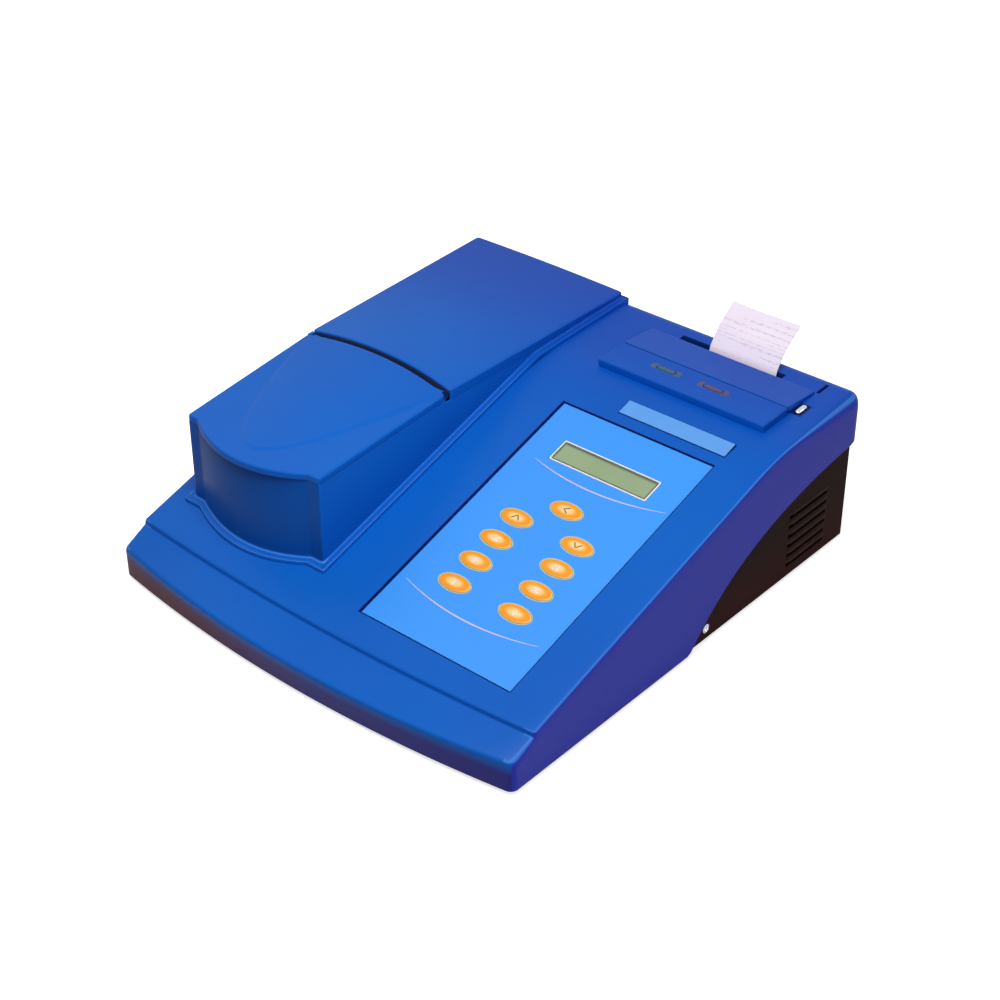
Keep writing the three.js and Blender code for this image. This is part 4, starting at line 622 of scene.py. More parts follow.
def add_print(tree):
    """Faint rows of grey print: rows by the way along the strip, broken into dashes across it."""
    surface = add_node(tree, "TexCoord", {}).outputs["UV"]

    def stretched(scale):
        return add_node(tree, "Mapping", {"Vector": surface, "Scale": scale}).outputs["Vector"]

    speckle = noise(tree, stretched((34, 110, 1)), 1.0, 1)
    groups = noise(tree, stretched((1.2, 9.0, 1)), 1.0, 0)
    waves = {"Vector": surface, "Scale": 6.4, "Distortion": 1.6, "Detail Scale": 3.0}
    rows = add_node(tree, "TexWave", waves, bands_direction="Y").outputs["Fac"]
    printed = calculate(tree, "MULTIPLY", calculate(tree, "MULTIPLY", rows, speckle),
                        ramp(tree, groups, 0.38, 0.52))
    add_colour(tree, printed, 0.36, 0.60, (186, 172, 192), 0.55)


def deeper(blue):
    """Second tone of the moulding: redder and darker."""
    return blue[0] + 14, round(blue[1] * 0.84), round(blue[2] * 0.93)


# Each finish: its material's name, tone, second tone, cloud, grain, roughness, bump and other settings,
# then colours laid over it as (axis, source, low, high, colour, amount). A tone may name a colour
# property, and a second tone may be a share of the first one or a rule for it.
# The moulding's laid colour darkens it towards the rear along Y: painted shade.
BLUE = ("case", deeper, 9, 1100, 0.38, 0.10, dict(spread=0.06, depth=0.00012, specular=0.25, ior=1.36),
        ("Y", "Object", 0.0, 0.17, (4, 62, 176), 0.7))
FINE = dict(spread=0.05, depth=0.0001)
METAL = dict(metallic=1.0)
FINISHES = {
    "case": ("blue moulding of the case", *BLUE),
    # The housing's faces turned to the front are darker: painted shade.
    "housing": ("blue moulding of the housing", *BLUE, ("Y", "Normal", -0.4, -0.9, (0, 78, 164), 1.0)),
    "lid": ("blue moulding of the lid", *BLUE),
    "flange": ("blue moulding of the flange", *BLUE),
    # The cover's recesses are a darker blue than the moulding: painted shade.
    "recess": ("blue moulding in shade", (6, 46, 122), (6, 38, 104), 9, 1100, 0.45, 0.10,
               dict(spread=0.06, depth=0.00012, specular=0.2, ior=1.36)),
    "overlay": ("printed overlay", "overlay", 0.94, 12, 1500, 0.42, 0.06,
                dict(FINE, coat=0.15, coat_rough=0.3)),
    "strip": ("pale strip", "strip", 0.93, 90, 1400, 0.4, 0.06, FINE),
    "key": ("key rubber", "key", (240, 150, 20), 160, 1400, 0.5, 0.15, dict(depth=0.0001, specular=0.3),
            ("Y", "UV", 0.66, 0.86, (255, 226, 160), 0.75), ("Y", "UV", 0.50, 0.38, (255, 222, 150), 0.75)),
    "key rim": ("printed key rim", (206, 200, 150), (190, 186, 140), 160, 1400, 0.5, 0.05, {}),
    "mark": ("key marking", (112, 104, 78), (92, 88, 70), 200, 1400, 0.6, 0.12, {}),
    "pale mark": ("pale key marking", (255, 250, 255), (244, 214, 214), 200, 1400, 0.6, 0.12, {}),
    "line": ("printed line", (214, 196, 226), (196, 182, 216), 80, 1400, 0.5, 0.05, {}),
    "green outline": ("green outline", (54, 92, 118), (44, 78, 108), 200, 1400, 0.5, 0.12, {}),
    "red outline": ("red outline", (84, 68, 110), (68, 58, 104), 200, 1400, 0.5, 0.12, {}),
    # The glass is darker towards its rear edge, under the frame: painted shade.
    "glass": ("display glass", "glass", 0.93, 50, 1500, 0.16, 0.03,
              dict(spread=0.04, depth=0.0001, coat=0.5, coat_rough=0.08),
              ("Y", "Object", 0.0275, 0.0300, (82, 88, 66), 0.8)),
    # The frame's inner slope down to the glass is dark: painted shade.
    "frame": ("display frame", (246, 250, 255), (232, 238, 246), 80, 1300, 0.35, 0.05, {},
              ("Y", "UV", 0.52, 0.6, (72, 80, 62), 0.9)),
    "steel": ("painted steel", "steel", 0.8, 30, 700, 0.6, 0.2,
              dict(spread=0.1, depth=0.00015, specular=0.1, ior=1.3),
              ("Z", "Object", 0.045, 0.0, (70, 30, 30), 0.5)),
    "louvre": ("painted louvre", (58, 40, 33), (46, 32, 28), 60, 800, 0.5, 0.2,
               dict(spread=0.1, depth=0.0001, specular=0.15, ior=1.36)),
    "paper": ("thermal paper", (250, 240, 251), (243, 228, 246), 60, 1600, 0.85, 0.2, dict(depth=0.0001)),
    "white": ("white plastic", (240, 245, 250), (228, 234, 240), 60, 1200, 0.4, 0.06, {}),
    "black": ("black plastic", (30, 31, 33), (20, 21, 23), 40, 900, 0.5, 0.2, {}),
    "rubber": ("black rubber", (24, 24, 24), (34, 34, 35), 50, 1000, 0.8, 0.3, {}),
    # A dark liner in the groove: painted shade on the block's face.
    "seal": ("dark blue seal", (12, 34, 84), (8, 26, 68), 60, 900, 0.8, 0.2, {}),
    "chrome": ("bright chrome", (236, 238, 240), (212, 215, 220), 40, 1600, 0.14, 0.03,
               dict(METAL, spread=0.05)),
    "plated": ("plated steel", (190, 192, 195), (160, 163, 168), 50, 1300, 0.32, 0.1, METAL),
    "aluminium": ("bare aluminium", (196, 199, 204), (172, 176, 182), 40, 1100, 0.36, 0.15,
                  dict(METAL, spread=0.12)),
    "glass clear": ("clear glass", (235, 242, 246), (220, 232, 240), 60, 500, 0.05, 0.02,
                    dict(spread=0.03, transmission=0.85, ior=1.46)),
    "board": ("circuit board", (30, 104, 58), (22, 84, 46), 160, 1200, 0.42, 0.25, dict(depth=0.0003)),
    "coil": ("wound copper", (176, 112, 58), (142, 84, 40), 240, 1500, 0.45, 0.4,
             dict(depth=0.0003, metallic=0.4)),
    "gold": ("gold pins", (222, 184, 96), (196, 158, 74), 200, 1500, 0.3, 0.12, METAL),
}
EXTRAS = {"case": add_painted_shade_and_highlight, "flange": add_painted_edge_highlights, "paper": add_print}
MADE = {}


def finish(name):
    """A finish by name, made the first time it is asked for."""
    if name not in MADE:
        label, base, second, cloud, grain, rough, bump, settings, *layers = FINISHES[name]
        if isinstance(base, str):
            base = [round(c * 255) for c in getattr(bpy.context.scene.meter_colours, base)]
        if callable(second):
            second = second(base)
        elif isinstance(second, float):
            second = [round(c * second) for c in base]
        MADE[name] = make_finish(label, base, second, cloud, grain, rough, bump, **settings)
        tree = MADE[name].node_tree
        for axis, source, *rest in layers:
            add_colour(tree, coordinate(tree, axis, source), *rest)
        if name in EXTRAS:
            EXTRAS[name](tree)
    return MADE[name]


# ---- sizes and colours to change
RGB = dict(size=3, min=0, max=1)


class Sizes(bpy.types.PropertyGroup):
    """Sizes that a user would change, in metres."""

    cover_wall: FloatProperty(
        name="Cover wall", description="Thickness of the moulded cover", default=0.0025, unit="LENGTH")
    edge_front: FloatProperty(
        name="Front edge", description="Radius of the cover's side edges at the front", default=0.0022,
        unit="LENGTH")
    edge_rear: FloatProperty(
        name="Rear edge", description="Radius of the cover's edges at the rear", default=0.008,
        unit="LENGTH")
    crest: FloatProperty(
        name="Crest", description="How far the bend between deck and roof is eased", default=0.007,
        unit="LENGTH")
    lid_corner: FloatProperty(
        name="Lid corner", description="Radius of the lid's corners in plan", default=0.0025,
        unit="LENGTH")
    lid_rim: FloatProperty(
        name="Lid rim", description="Radius of the lid's upper rim", default=0.0012, unit="LENGTH")
    flange_width: FloatProperty(
        name="Flange width", description="Width of the flange round the housing", default=0.005,
        unit="LENGTH")
    flange_height: FloatProperty(
        name="Flange height", description="Height of the flange above the deck", default=0.0026,
        unit="LENGTH")
    vent_reach: FloatProperty(
        name="Vent reach", description="How far each vent hood stands out", default=0.0009,
        unit="LENGTH")
    paper_curl: FloatProperty(
        name="Paper curl", description="How far the strip's edges curl forward", default=0.0012,
        unit="LENGTH")


class Colours(bpy.types.PropertyGroup):
    """Colours of the finishes, as they show on a screen."""

    case: FloatVectorProperty(
        name="Case", description="Blue of the moulded case", default=(0.0, 0.40, 0.78),
        subtype="COLOR_GAMMA", **RGB)
    overlay: FloatVectorProperty(
        name="Overlay", description="Light blue of the keypad overlay", default=(0.18, 0.60, 1.0),
        subtype="COLOR_GAMMA", **RGB)
    strip: FloatVectorProperty(
        name="Name strip", description="Pale blue of the bare strip above the panel",
        default=(0.36, 0.64, 0.95), subtype="COLOR_GAMMA", **RGB)
    key: FloatVectorProperty(
        name="Keys", description="Orange of the keys", default=(0.99, 0.62, 0.09),
        subtype="COLOR_GAMMA", **RGB)
    glass: FloatVectorProperty(
        name="Display", description="Grey green of the display", default=(0.58, 0.67, 0.50),
        subtype="COLOR_GAMMA", **RGB)
    steel: FloatVectorProperty(
        name="Tray", description="Near black of the painted tray", default=(0.17, 0.10, 0.09),
        subtype="COLOR_GAMMA", **RGB)


# ---- cover
def bow(points):
    """Front edge in plan: each point moves forward by fullness * bow, fading out behind the step."""
    x, y, z = np.moveaxis(points, -1, 0)
    fullness = 1 - np.clip(np.abs(x) / HALF_WIDTH, 0, 1) ** 2
    back = np.clip((y - FRONT_Y) / (STEP_Y - FRONT_Y), 0, 1)
    edge = BASE_BOW + (LIP_BOW - BASE_BOW) * np.clip(z / LIP_HEIGHT, 0, 1)
    fade = 1 - np.clip((y - STEP_Y) / BOW_FADE, 0, 1)
    reach = fullness * (edge * (1 - back) + STEP_BOW * back) * fade
    low = np.clip(z / (DECK_FOOT - STEP_RISE), 0, 1)
    return level(x, y - reach, z - reach * math.tan(DECK_TILT) * back * low)


def deck_y(along, by):
    """Depths of a range along the deck, grown at both ends."""
    return STEP_Y + np.array(grown(along, by)) * math.cos(DECK_TILT)


def skirt():
    """Bottom line of the cover's side: a cubic curve from the tray up to the rear."""
    t = np.linspace(0, 1, 80)[:, None]
    a, b, c, d = np.array(SKIRT)
    return a * (1 - t) ** 3 + 3 * b * t * (1 - t) ** 2 + 3 * c * t ** 2 * (1 - t) + d * t ** 3


def cover_sheet(edge_front, edge_rear, crest):
    """Skin of the cover: a profile from front foot to rear foot, carried across, with side walls.

    Across the top the profile is repeated. Over the last radius it turns down on a quarter ellipse to
    the same profile set inward by that radius. From there straight lines run down to the foot line of
    the side, which is level and then follows the skirt's curve.
    """
    corners = np.array([
        (FRONT_Y, 0), (FRONT_Y, LIP_HEIGHT), (STEP_Y - 0.3, DECK_FOOT - STEP_RISE), (STEP_Y, DECK_FOOT),
        (CREST_Y, CREST_Z), (REAR_Y, skin_z(REAR_Y)), (REAR_Y, SKIRT[-1][1]),
    ])
    depths = edge_front * np.array([2, 1.8, 1, 1, 1, 0, 0])
    depths[5:] = edge_rear
    path, path_t = ease_with_share(corners, [0, 2.4, 0.8, 1.0, crest, edge_rear, 0])
    low, low_t = ease_with_share(inset(corners, depths), [0, 3.2, 0.8, 1.0, crest, edge_rear * 0.7, 0])
    openings = np.array([
        UNDER_HOUSING,
        (grown(RECESS_X, PANEL_RIM), deck_y(PANEL_T, PANEL_RIM)),
        (grown(STRIP_X, STRIP_RIM), deck_y(STRIP_T, STRIP_RIM)),
        (BAY_X, BAY_Y),
        (grown(SLOT_X, SLOT_RIM), grown(SLOT_Y, SLOT_RIM)),
        box(LATCH, LATCH_HOLE),
        (grown(SCORE_X, SCORE_RIM), SCORE_Y),
    ])
    top = (path_t > 3.05) & (path_t < 4.99)  # from behind the step's corner to the rear corner
    line_t = np.interp(openings[:, 1].ravel(), path[top, 0], path_t[top])
    # Even stations between each corner and the next: front, lip, step, deck, roof, rear
    even_t = np.concatenate([np.linspace(k, k + 1, n) for k, n in enumerate((6, 6, 4, 46, 18, 6))])
    stations = np.unique(fill_in(np.concatenate([path_t, line_t]), even_t, 0.006).round(6))
    x = fill_in(openings[:, 0].ravel(), np.arange(-150, 151, 6.0), 1.0)
    y, z = points_at(stations, path_t, path)
    low_y, low_z = points_at(stations, low_t, low)

    def lowered(a, b, share):
        """From a, where the share is 0, in a straight line to b, where it is 1."""
        return a[:, None] + (b - a)[:, None] * share

    turn = np.linspace(0, math.pi / 2, 7)[None]
    depth = np.interp(stations, np.arange(7), depths)[:, None]
    sink = 1 - np.cos(turn)
    bend = level(HALF_WIDTH - depth * (1 - np.sin(turn)), lowered(y, low_y, sink), lowered(z, low_z, sink))
    foot = skirt()
    # Where each station's straight line down the side meets the foot line
    foot_y = np.interp(stations, [0, 1, 3.3, 4.6, 5, 6],
                       [low_y[0], low_y[0] + 9, -80, REAR_Y - 45, REAR_Y - edge_rear - 9, low_y[-1]])
    foot_z = np.interp(foot_y, foot[:, 0], foot[:, 1], left=0)
    foot_z[-1] = low_z[-1]
    share = np.linspace(1, 0, 9)[None, 1:]
    wall = level(HALF_WIDTH, lowered(foot_y, low_y, share), lowered(foot_z, low_z, share))
    right = np.concatenate([bend, wall], axis=1)
    left = right[:, ::-1] * (-1, 1, 1)
    grid = np.concatenate([left, level(x[None], y[:, None], z[:, None]), right], axis=1)
    return sheet(bow(grid), keep=outside(grid[..., 0], grid[..., 1], openings))


def recess_sheets():
    """Sunk rims of the cover's openings: rounded loops that step in and down."""
    return [
        stepped(RECESS_X, PANEL_T, on_deck, [
            (PANEL_RIM, 0.1, 0.0), (0.95, 0.5, -0.03), (0.85, 0.7, -0.25), (0.85, 0.7, -PANEL_DEPTH),
            (-3.0, 0.8, -PANEL_DEPTH), (-3.0, 0.8, -PANEL_DEPTH - 1.5)]),
        stepped(STRIP_X, STRIP_T, on_deck, [
            (STRIP_RIM, 0.1, 0.0), (0.15, 0.3, -0.02), (0.0, 0.4, -0.15), (0.0, 0.4, -0.5),
            (-4.0, 0.4, -0.5), (-6.05, 0.01, -0.5)]),
        stepped(SLOT_X, SLOT_Y, on_roof, [
            (SLOT_RIM, 0.1, 0.0), (0.2, 0.5, -0.1), (0.0, 0.6, -0.5), (0.0, 0.6, -4.0)]),
        stepped(*box(LATCH, LATCH_HALF), on_roof, [
            (2.15, 0.3, 0.0), (1.8, 3.8, -0.05), (1.6, 3.6, -0.3), (1.6, 3.6, -0.8),
            (0.35, 2.35, -0.8), (0.35, 2.35, -4.0)]),
        stepped(BAY_X, BAY_Y, on_roof, [(0.0, 0.1, 0.0), (0.0, 0.3, -4.0)]),
        stepped(SCORE_X, grown(SCORE_Y, -SCORE_RIM), on_roof, [
            (SCORE_RIM, 0.05, 0.0), (0.05, 0.3, -0.05), (0.0, 0.3, -0.2), (0.0, 0.3, -0.9),
            (-0.55, 0.05, -0.9)]),
    ]


class METER_OT_cover(bpy.types.Operator):
    """Build the moulded top cover with its recesses"""
    bl_idname = "meter.cover"
    bl_label = "Top cover"

    def execute(self, context):
        sizes = context.scene.meter_sizes
        skin = cover_sheet(mm(sizes.edge_front), mm(sizes.edge_rear), mm(sizes.crest) * CREST_REACH)
        piece = add_piece("cover_skin", [skin], "case", replaces=["top_cover"], sharp=32)
        thicken(piece, sizes.cover_wall)
        add_piece("cover_recesses", recess_sheets(), "recess", sharp=40)
        return {"FINISHED"}


# ---- housing and lid
def housing_outline(grow=0.0, corner=2.5, shoulder=1.6, rear_corner=3.0):
    """Plan outline of the housing or, grown, its flange: straight sides, a parabola between shoulders."""
    y = np.array(HOUSING_LINES)
    share = np.linspace(-1, 1, 41)
    left, right = HOUSING_FRONT_LEFT - grow, HOUSING_RIGHT + grow
    front, rear = HOUSING_FRONT - grow, HOUSING_REAR + grow
    outline = np.concatenate([
        [[left, front]],
        np.stack([FRONT_MIDDLE + FRONT_HALF * share, front - BULGE * (1 - share ** 2)], axis=1),
        [[right, front]],
        np.stack([np.full(len(y), right), y], axis=1),
        [[right, rear], [HOUSING_REAR_LEFT - grow, rear]],
        np.stack([left_wall(y) - grow, y], axis=1)[::-1],
    ])
    radii = np.zeros(len(outline))
    after = len(share) + 1
    radii[[0, after]] = corner
    radii[[1, after - 1]] = shoulder
    radii[[after + len(y) + 1, after + len(y) + 2]] = rear_corner
    return ease(outline, radii)


def housing_walls():
    """Upright walls: the outline raised from below the deck up to the lid or the groove's floor.

    The top edge has a small chamfer; from there the wall turns in by its thickness and down again.
    """
    loop = housing_outline()
    out = to_the_right(np.roll(loop, -1, axis=0) - np.roll(loop, 1, axis=0))
    x, y = loop.T
    foot = skin_z(y) + 0.3 - rear_sink(y)
    top = np.where(y < GROOVE_Y - GROOVE_HALF, lid_plane(y) - LID_EDGE - 0.3, GROOVE_FLOOR)
    top = np.maximum(top, foot + 1)
    # The left wall closes the groove's end
    at_groove = (np.abs(y - GROOVE_Y) < GROOVE_HALF + 0.02) & (x < HOUSING_FRONT_LEFT / 2)
    top = np.where(at_groove, LID_REAR_TOP + 0.3, top)
    rows = []
    for grow, height in ((0, foot), (0, top - 0.4), (-0.12, top - 0.12), (-0.4, top),
                         (-HOUSING_WALL, top), (-HOUSING_WALL, foot)):
        x, y = (loop + out * grow).T
        rows.append(level(x, np.minimum(y, HOUSING_REAR), height))
    return sheet(np.stack(rows), rows=True, columns=True)


def flange_sheet(wide, high):
    """Flange: grown outlines that stand on the deck at the heights of a stepped profile."""
    rows = []
    for grow, lift in ((wide, 0.0), (wide, high - 0.5), (wide - 0.2, high - 0.15), (wide - 0.5, high),
                       (wide - 1.3, high), (wide - 1.9, high - 0.55), (1.2, high - 0.6),
                       (0.7, high - 0.5), (0.15, high + 0.1), (0.0, high + 0.5), (-1.0, high + 0.5),
                       (-1.0, 0.0)):
        x, y = housing_outline(grow, 1.3 + 1.2 * max(0.0, 1 - grow / wide), 2.2).T
        x, y = np.maximum(x, -HALF_WIDTH + 0.3), np.minimum(y, HOUSING_REAR + 0.15)
        rows.append(level(x, y, skin_z(y) + (lift if lift > 0 else -edge_sink(x, y))))
    return sheet(np.stack(rows), rows=True, columns=True)


def across_line(left, corner, u):
    """x of a line across the tunnel, a corner away from both walls."""
    return left + corner + (HOUSING_RIGHT - left - 2 * corner) * u


def tunnel_grid(u, v, start, end, corner):
    """Plan grid between two lines across the tunnel, a corner away from its flaring walls."""
    y = start + (end - start) * v
    left = left_wall(y) + corner
    return left + (HOUSING_RIGHT - corner - left) * u, y


def along_groove(x, line, profile):
    """Profile of (offset, height) carried along the groove: x where it lies, line where the groove is."""
    return np.stack([level(x, groove(line, offset), height) for offset, height in profile])


def block_sheets():
    """Rear block: a plate with a rounded rim from the groove to the rear, level but for its crown."""
    u, v = np.meshgrid(np.linspace(0, 1, 41), np.linspace(0, 1, 61))
    start = groove(across_line(GROOVE_LEFT, BLOCK_CORNER, u), GROOVE_HALF) + BLOCK_CORNER
    x, y = tunnel_grid(u, v, start, HOUSING_REAR - BLOCK_CORNER, BLOCK_CORNER)
    return cushion(x, y, tunnel_roof, lambda a, b: GROOVE_FLOOR - rear_sink(b), BLOCK_CORNER, BLOCK_RIM)


def web_sheet():
    """Floor of the groove: a bar that follows the groove's line under the lid's rear edge."""
    line = across_line(HOUSING_FRONT_LEFT, 0.0, np.linspace(0, 1, 41))
    inner = np.clip(line, GROOVE_LEFT + 2.2, HOUSING_RIGHT - 2.2)
    near, far, low = -GROOVE_HALF - WEB, GROOVE_HALF + 4, GROOVE_FLOOR - WEB
    profile = [(near, low), (near, GROOVE_FLOOR), (GROOVE_HALF + 1, GROOVE_FLOOR), (far, GROOVE_FLOOR),
               (far, low)]
    return sheet(along_groove(inner, line, profile), rows=True)


def groove_shade_sheet():
    """Painted shade in the groove: a thin dark L against the block's face, drawn to a point at both ends.
    """
    line = np.linspace(GROOVE_LEFT + 0.6, HOUSING_RIGHT - 0.6, 61)
    rim_z = tunnel_roof(line, groove(line, GROOVE_HALF)) - BLOCK_RIM
    near, face, far = -GROOVE_HALF + 0.1, GROOVE_HALF - 0.25, GROOVE_HALF + 0.1
    seal = along_groove(line, line, (
        (near, GROOVE_FLOOR + 0.15), (near, GROOVE_FLOOR + 0.5), (face - 0.2, GROOVE_FLOOR + 0.5),
        (face, GROOVE_FLOOR + 0.8), (face, rim_z - 0.2), (face + 0.15, rim_z), (far, rim_z),
        (far, GROOVE_FLOOR + 0.15)))
    middle = np.broadcast_to(seal.mean(axis=0), seal.shape)
    return sheet(np.concatenate([middle[:, :1], seal, middle[:, -1:]], axis=1), rows=True)


def knuckle_sheets(near, far, y, z):
    """Hinge knuckles at both ends of the groove, between two distances from the walls: rod and block."""
    sheets = []
    for edge, inward in ((GROOVE_LEFT, 1), (HOUSING_RIGHT, -1)):
        x = sorted((edge + inward * near, edge + inward * far))
        sheets += [rod(*x, GROOVE_Y, HINGE_Z, KNUCKLE), brick(x, y, z)]
    return sheets


class METER_OT_housing(bpy.types.Operator):
    """Build the sample housing with its flange, groove and rear block"""
    bl_idname = "meter.housing"
    bl_label = "Sample housing"

    def execute(self, context):
        sizes = context.scene.meter_sizes
        knuckles = knuckle_sheets(
            *HOUSING_KNUCKLE, grown((GROOVE_Y, GROOVE_Y), KNUCKLE), (GROOVE_FLOOR - 1, HINGE_Z))
        shell = [housing_walls(), *block_sheets(), web_sheet(), *knuckles]
        add_piece("housing_shell", shell, "housing", replaces=["sample_housing"], sharp=35)
        flange = flange_sheet(mm(sizes.flange_width), mm(sizes.flange_height))
        add_piece("housing_flange", [flange], "flange", sharp=35)
        # The groove's dark liner: painted shade on the block's face.
        add_piece("groove_shade_liner", [groove_shade_sheet()], "seal", sharp=35, solid=True)
        return {"FINISHED"}


class METER_OT_lid(bpy.types.Operator):
    """Build the vaulted lid"""
    bl_idname = "meter.lid"
    bl_label = "Sample lid"

    def execute(self, context):
        sizes = context.scene.meter_sizes
        corner, rim = mm(sizes.lid_corner), mm(sizes.lid_rim)
        u, v = np.meshgrid(np.linspace(0, 1, 121), np.linspace(0, 1, 121))
        start = front_line(across_line(HOUSING_FRONT_LEFT, corner, u), LID_BULGE) + corner
        end = groove(across_line(GROOVE_LEFT, corner, u), -GROOVE_HALF) - corner
        x, y = tunnel_grid(u, v, start, end, corner)
        plate = cushion(x, y, lid_top, lambda a, b: lid_plane(b) - LID_EDGE, corner, rim, under=2.5,
                        lip=2.0)
        knuckles = knuckle_sheets(
            *LID_KNUCKLE, (GROOVE_Y - GROOVE_HALF - 1.5, GROOVE_Y), (HINGE_Z - KNUCKLE, HINGE_Z + 0.8))
        add_piece("lid_shell", [*plate, *knuckles], "lid", body="sample_lid", replaces=["sample_lid"],
                  sharp=35)
        return {"FINISHED"}


# ---- printer
def strip_sheets(corner=1.4, rim=1.0):
    """Printer's front strip: a level plate with a rounded rim over the roof, open at the two buttons."""
    openings = np.array([box(button, BUTTON_HOLE) for button in BUTTONS.values()])
    x, y = np.meshgrid(
        grid_lines(*grown(PRINTER_X, -corner), 6.0, openings[:, 0].ravel()),
        grid_lines(PRINTER_FRONT + corner, PRINTER_FLAT - 0.45 - corner, 3.0, openings[0, 1]))
    sheets = cushion(x, y, lambda a, b: PRINTER_RISE + 0 * a, lambda a, b: 0.3 + 0 * a, corner, rim,
                     keep=outside(x, y, openings), place=on_roof)
    rims = [stepped(*box(button, BUTTON_HALF), on_roof, [
        (1.0, 0.2, 0.0), (0.75, 2.0, 0.0), (0.45, 2.0, -0.15), (0.35, 2.0, -0.5), (0.35, 2.0, -1.9),
    ], PRINTER_RISE) for button in BUTTONS.values()]
    return sheets + rims


def door_sheets(corner=0.9, rim=0.6):
    """Printer's door: a plate with a rounded rim that slopes in a straight line down to the roof."""
    x, y = np.meshgrid(grid_lines(PRINTER_X[0] + 1.4, PRINTER_X[1] - 1.4, 6.0),
                       grid_lines(PRINTER_FLAT + corner, PRINTER_REAR - corner, 3.0))
    slope = (PRINTER_RISE - PRINTER_REAR_RISE) / (PRINTER_REAR - PRINTER_FLAT)
    return cushion(x, y, lambda a, b: PRINTER_RISE - slope * (b - PRINTER_FLAT),
                   lambda a, b: np.where(b < PRINTER_FLAT + 3, PRINTER_RISE - 3.5, 0.35),
                   corner, rim, under=0.8, lip=0.7, place=on_roof)


class METER_OT_printer(bpy.types.Operator):
    """Build the printer's strip, door, buttons and latch"""
    bl_idname = "meter.printer"
    bl_label = "Printer top"

    def execute(self, context):
        bezel = add_piece("printer_strip", strip_sheets(), "lid", replaces=["printer_bezel"])
        thicken(bezel, 0.0015)
        add_piece("door_plate", door_sheets(), "housing", body="printer_door", replaces=["printer_door"])
        for (name, button), tint in zip(BUTTONS.items(), ("green outline", "red outline")):
            opening, bar = box(button, BUTTON_HALF), box(button, BAR_HALF)
            cap = stepped(*opening, on_roof, [
                (0, 2.0, -2.0), (0, 2.0, 0.1), (-0.12, 2.0, 0.25), (-0.35, 2.0, 0.33),
                (-0.8, 2.0, 0.36), (-1.4, 2.0, 0.37)], PRINTER_RISE, low=True, high=True)
            add_piece(name + "_cap", [cap], tint, body=name, replaces=[name], sharp=50)
            outer = [(rounded(*bar, 2.6, grow), PRINTER_RISE + lift)
                     for grow, lift in ((0.0, -0.01), (-0.1, 0.08))]
            inner = [(rounded(*opening, 2.0, 1.0), PRINTER_RISE + lift) for lift in (0.08, -0.01)]
            add_piece(name + "_outline", [pile(on_roof, outer + inner)], tint,
                      sharp=50)
            face = stepped(*opening, on_roof, [(-0.7, 2.0, 0.2), (-0.7, 2.0, 0.4), (-0.9, 2.0, 0.43)],
                           PRINTER_RISE, high=True)
            add_piece(name + "_face", [face], tint, body=name, sharp=50)
        latch = stepped(*box(LATCH, LATCH_HALF), on_roof, [
            (0, 2.0, -3.0), (0, 2.0, 0.5), (-0.15, 2.0, 0.85), (-0.5, 2.0, 1.1), (-1.0, 2.0, 1.2),
            (-1.5, 2.0, 1.2)], low=True, high=True)
        add_piece("latch_cap", [latch], "chrome", body="printer_latch",
                  replaces=["printer_latch"], sharp=50)
        return {"FINISHED"}


# ---- keypad
def key_sheet(x, along):
    """Key: ellipses that rise from below the overlay and shrink over a low dome to a point."""
    shapes = [(oval(x, along, KEY_HALF[0] * share, KEY_HALF[1] * share), OVERLAY_TOP + height)
              for share, height in ((0.0, -3.4), (1.0, -3.4), (1.0, 0.25), (0.985, 0.5), (0.95, 0.68),
                                    (0.88, 0.8), (0.7, 0.87), (0.45, 0.9), (0.2, 0.9), (0.0, 0.9))]
    return pile(on_deck, shapes)


def mark_sheets(strokes, x, along):
    """Mark of a key: a thin ribbon along each stroke, which is cut into four steps a line."""
    sheets = []
    for stroke in strokes:
        corners = np.arange(len(stroke))
        steps = np.linspace(0, corners[-1], 4 * corners[-1] + 1)
        path = points_at(steps, corners, np.array(stroke, float)).T * 1.15 + (x, along)
        sheets.append(ribbon(path, 0.75, OVERLAY_TOP + 0.8, OVERLAY_TOP + 0.98, on_deck))
    return sheets


class METER_OT_keypad(bpy.types.Operator):
    """Build the keys, their marks and the overlay's lines"""
    bl_idname = "meter.keypad"
    bl_label = "Keypad"

    def execute(self, context):
        rims = []
        for name, x, along in KEYS:
            add_piece(name + "_cap", [key_sheet(x, along)], "key", body=name,
                      replaces=[name], sharp=60)
            strokes, tint = (ARROWS[name], "mark") if name in ARROWS else (SIGNS[name], "pale mark")
            add_piece(name + "_mark", mark_sheets(strokes, x, along), tint, body=name,
                      sharp=50)
            rims.append(pile(on_deck, [
                (oval(x, along, KEY_HALF[0] + grow, KEY_HALF[1] + grow), OVERLAY_TOP + height)
                for grow, height in ((0.9, -0.01), (0.8, 0.03), (0.25, 0.03), (0.2, -0.01))]))
        window_frame = stepped(WINDOW_X, WINDOW_T, on_deck, [
            (grow, 0.7, height) for grow, height in (
                (0.0, -1.3), (0.0, -0.62), (-0.12, -0.5), (-0.7, -0.5), (-0.85, -0.62), (-1.3, -0.95),
                (-1.68, -1.0), (-1.68, -1.3))])
        add_piece("window_frame", [window_frame], "frame",
                  replaces=["display_bezel"], sharp=50)
        add_piece("key_rims", rims, "key rim", sharp=60)
        share = np.linspace(-1, 1, 49)
        lines = []
        for x0, x1, low in LINES:
            x = (x0 + x1) / 2 + (x1 - x0) / 2 * share
            path = np.stack([x, low + LINE_BEND * (x - KEY_MIDDLE) ** 2], axis=1)
            lines.append(ribbon(path, 0.25 + 0.75 * (1 - share ** 2), OVERLAY_TOP - 0.02,
                                OVERLAY_TOP + 0.05, on_deck))
        add_piece("overlay_lines", lines, "line", sharp=50)
        return {"FINISHED"}


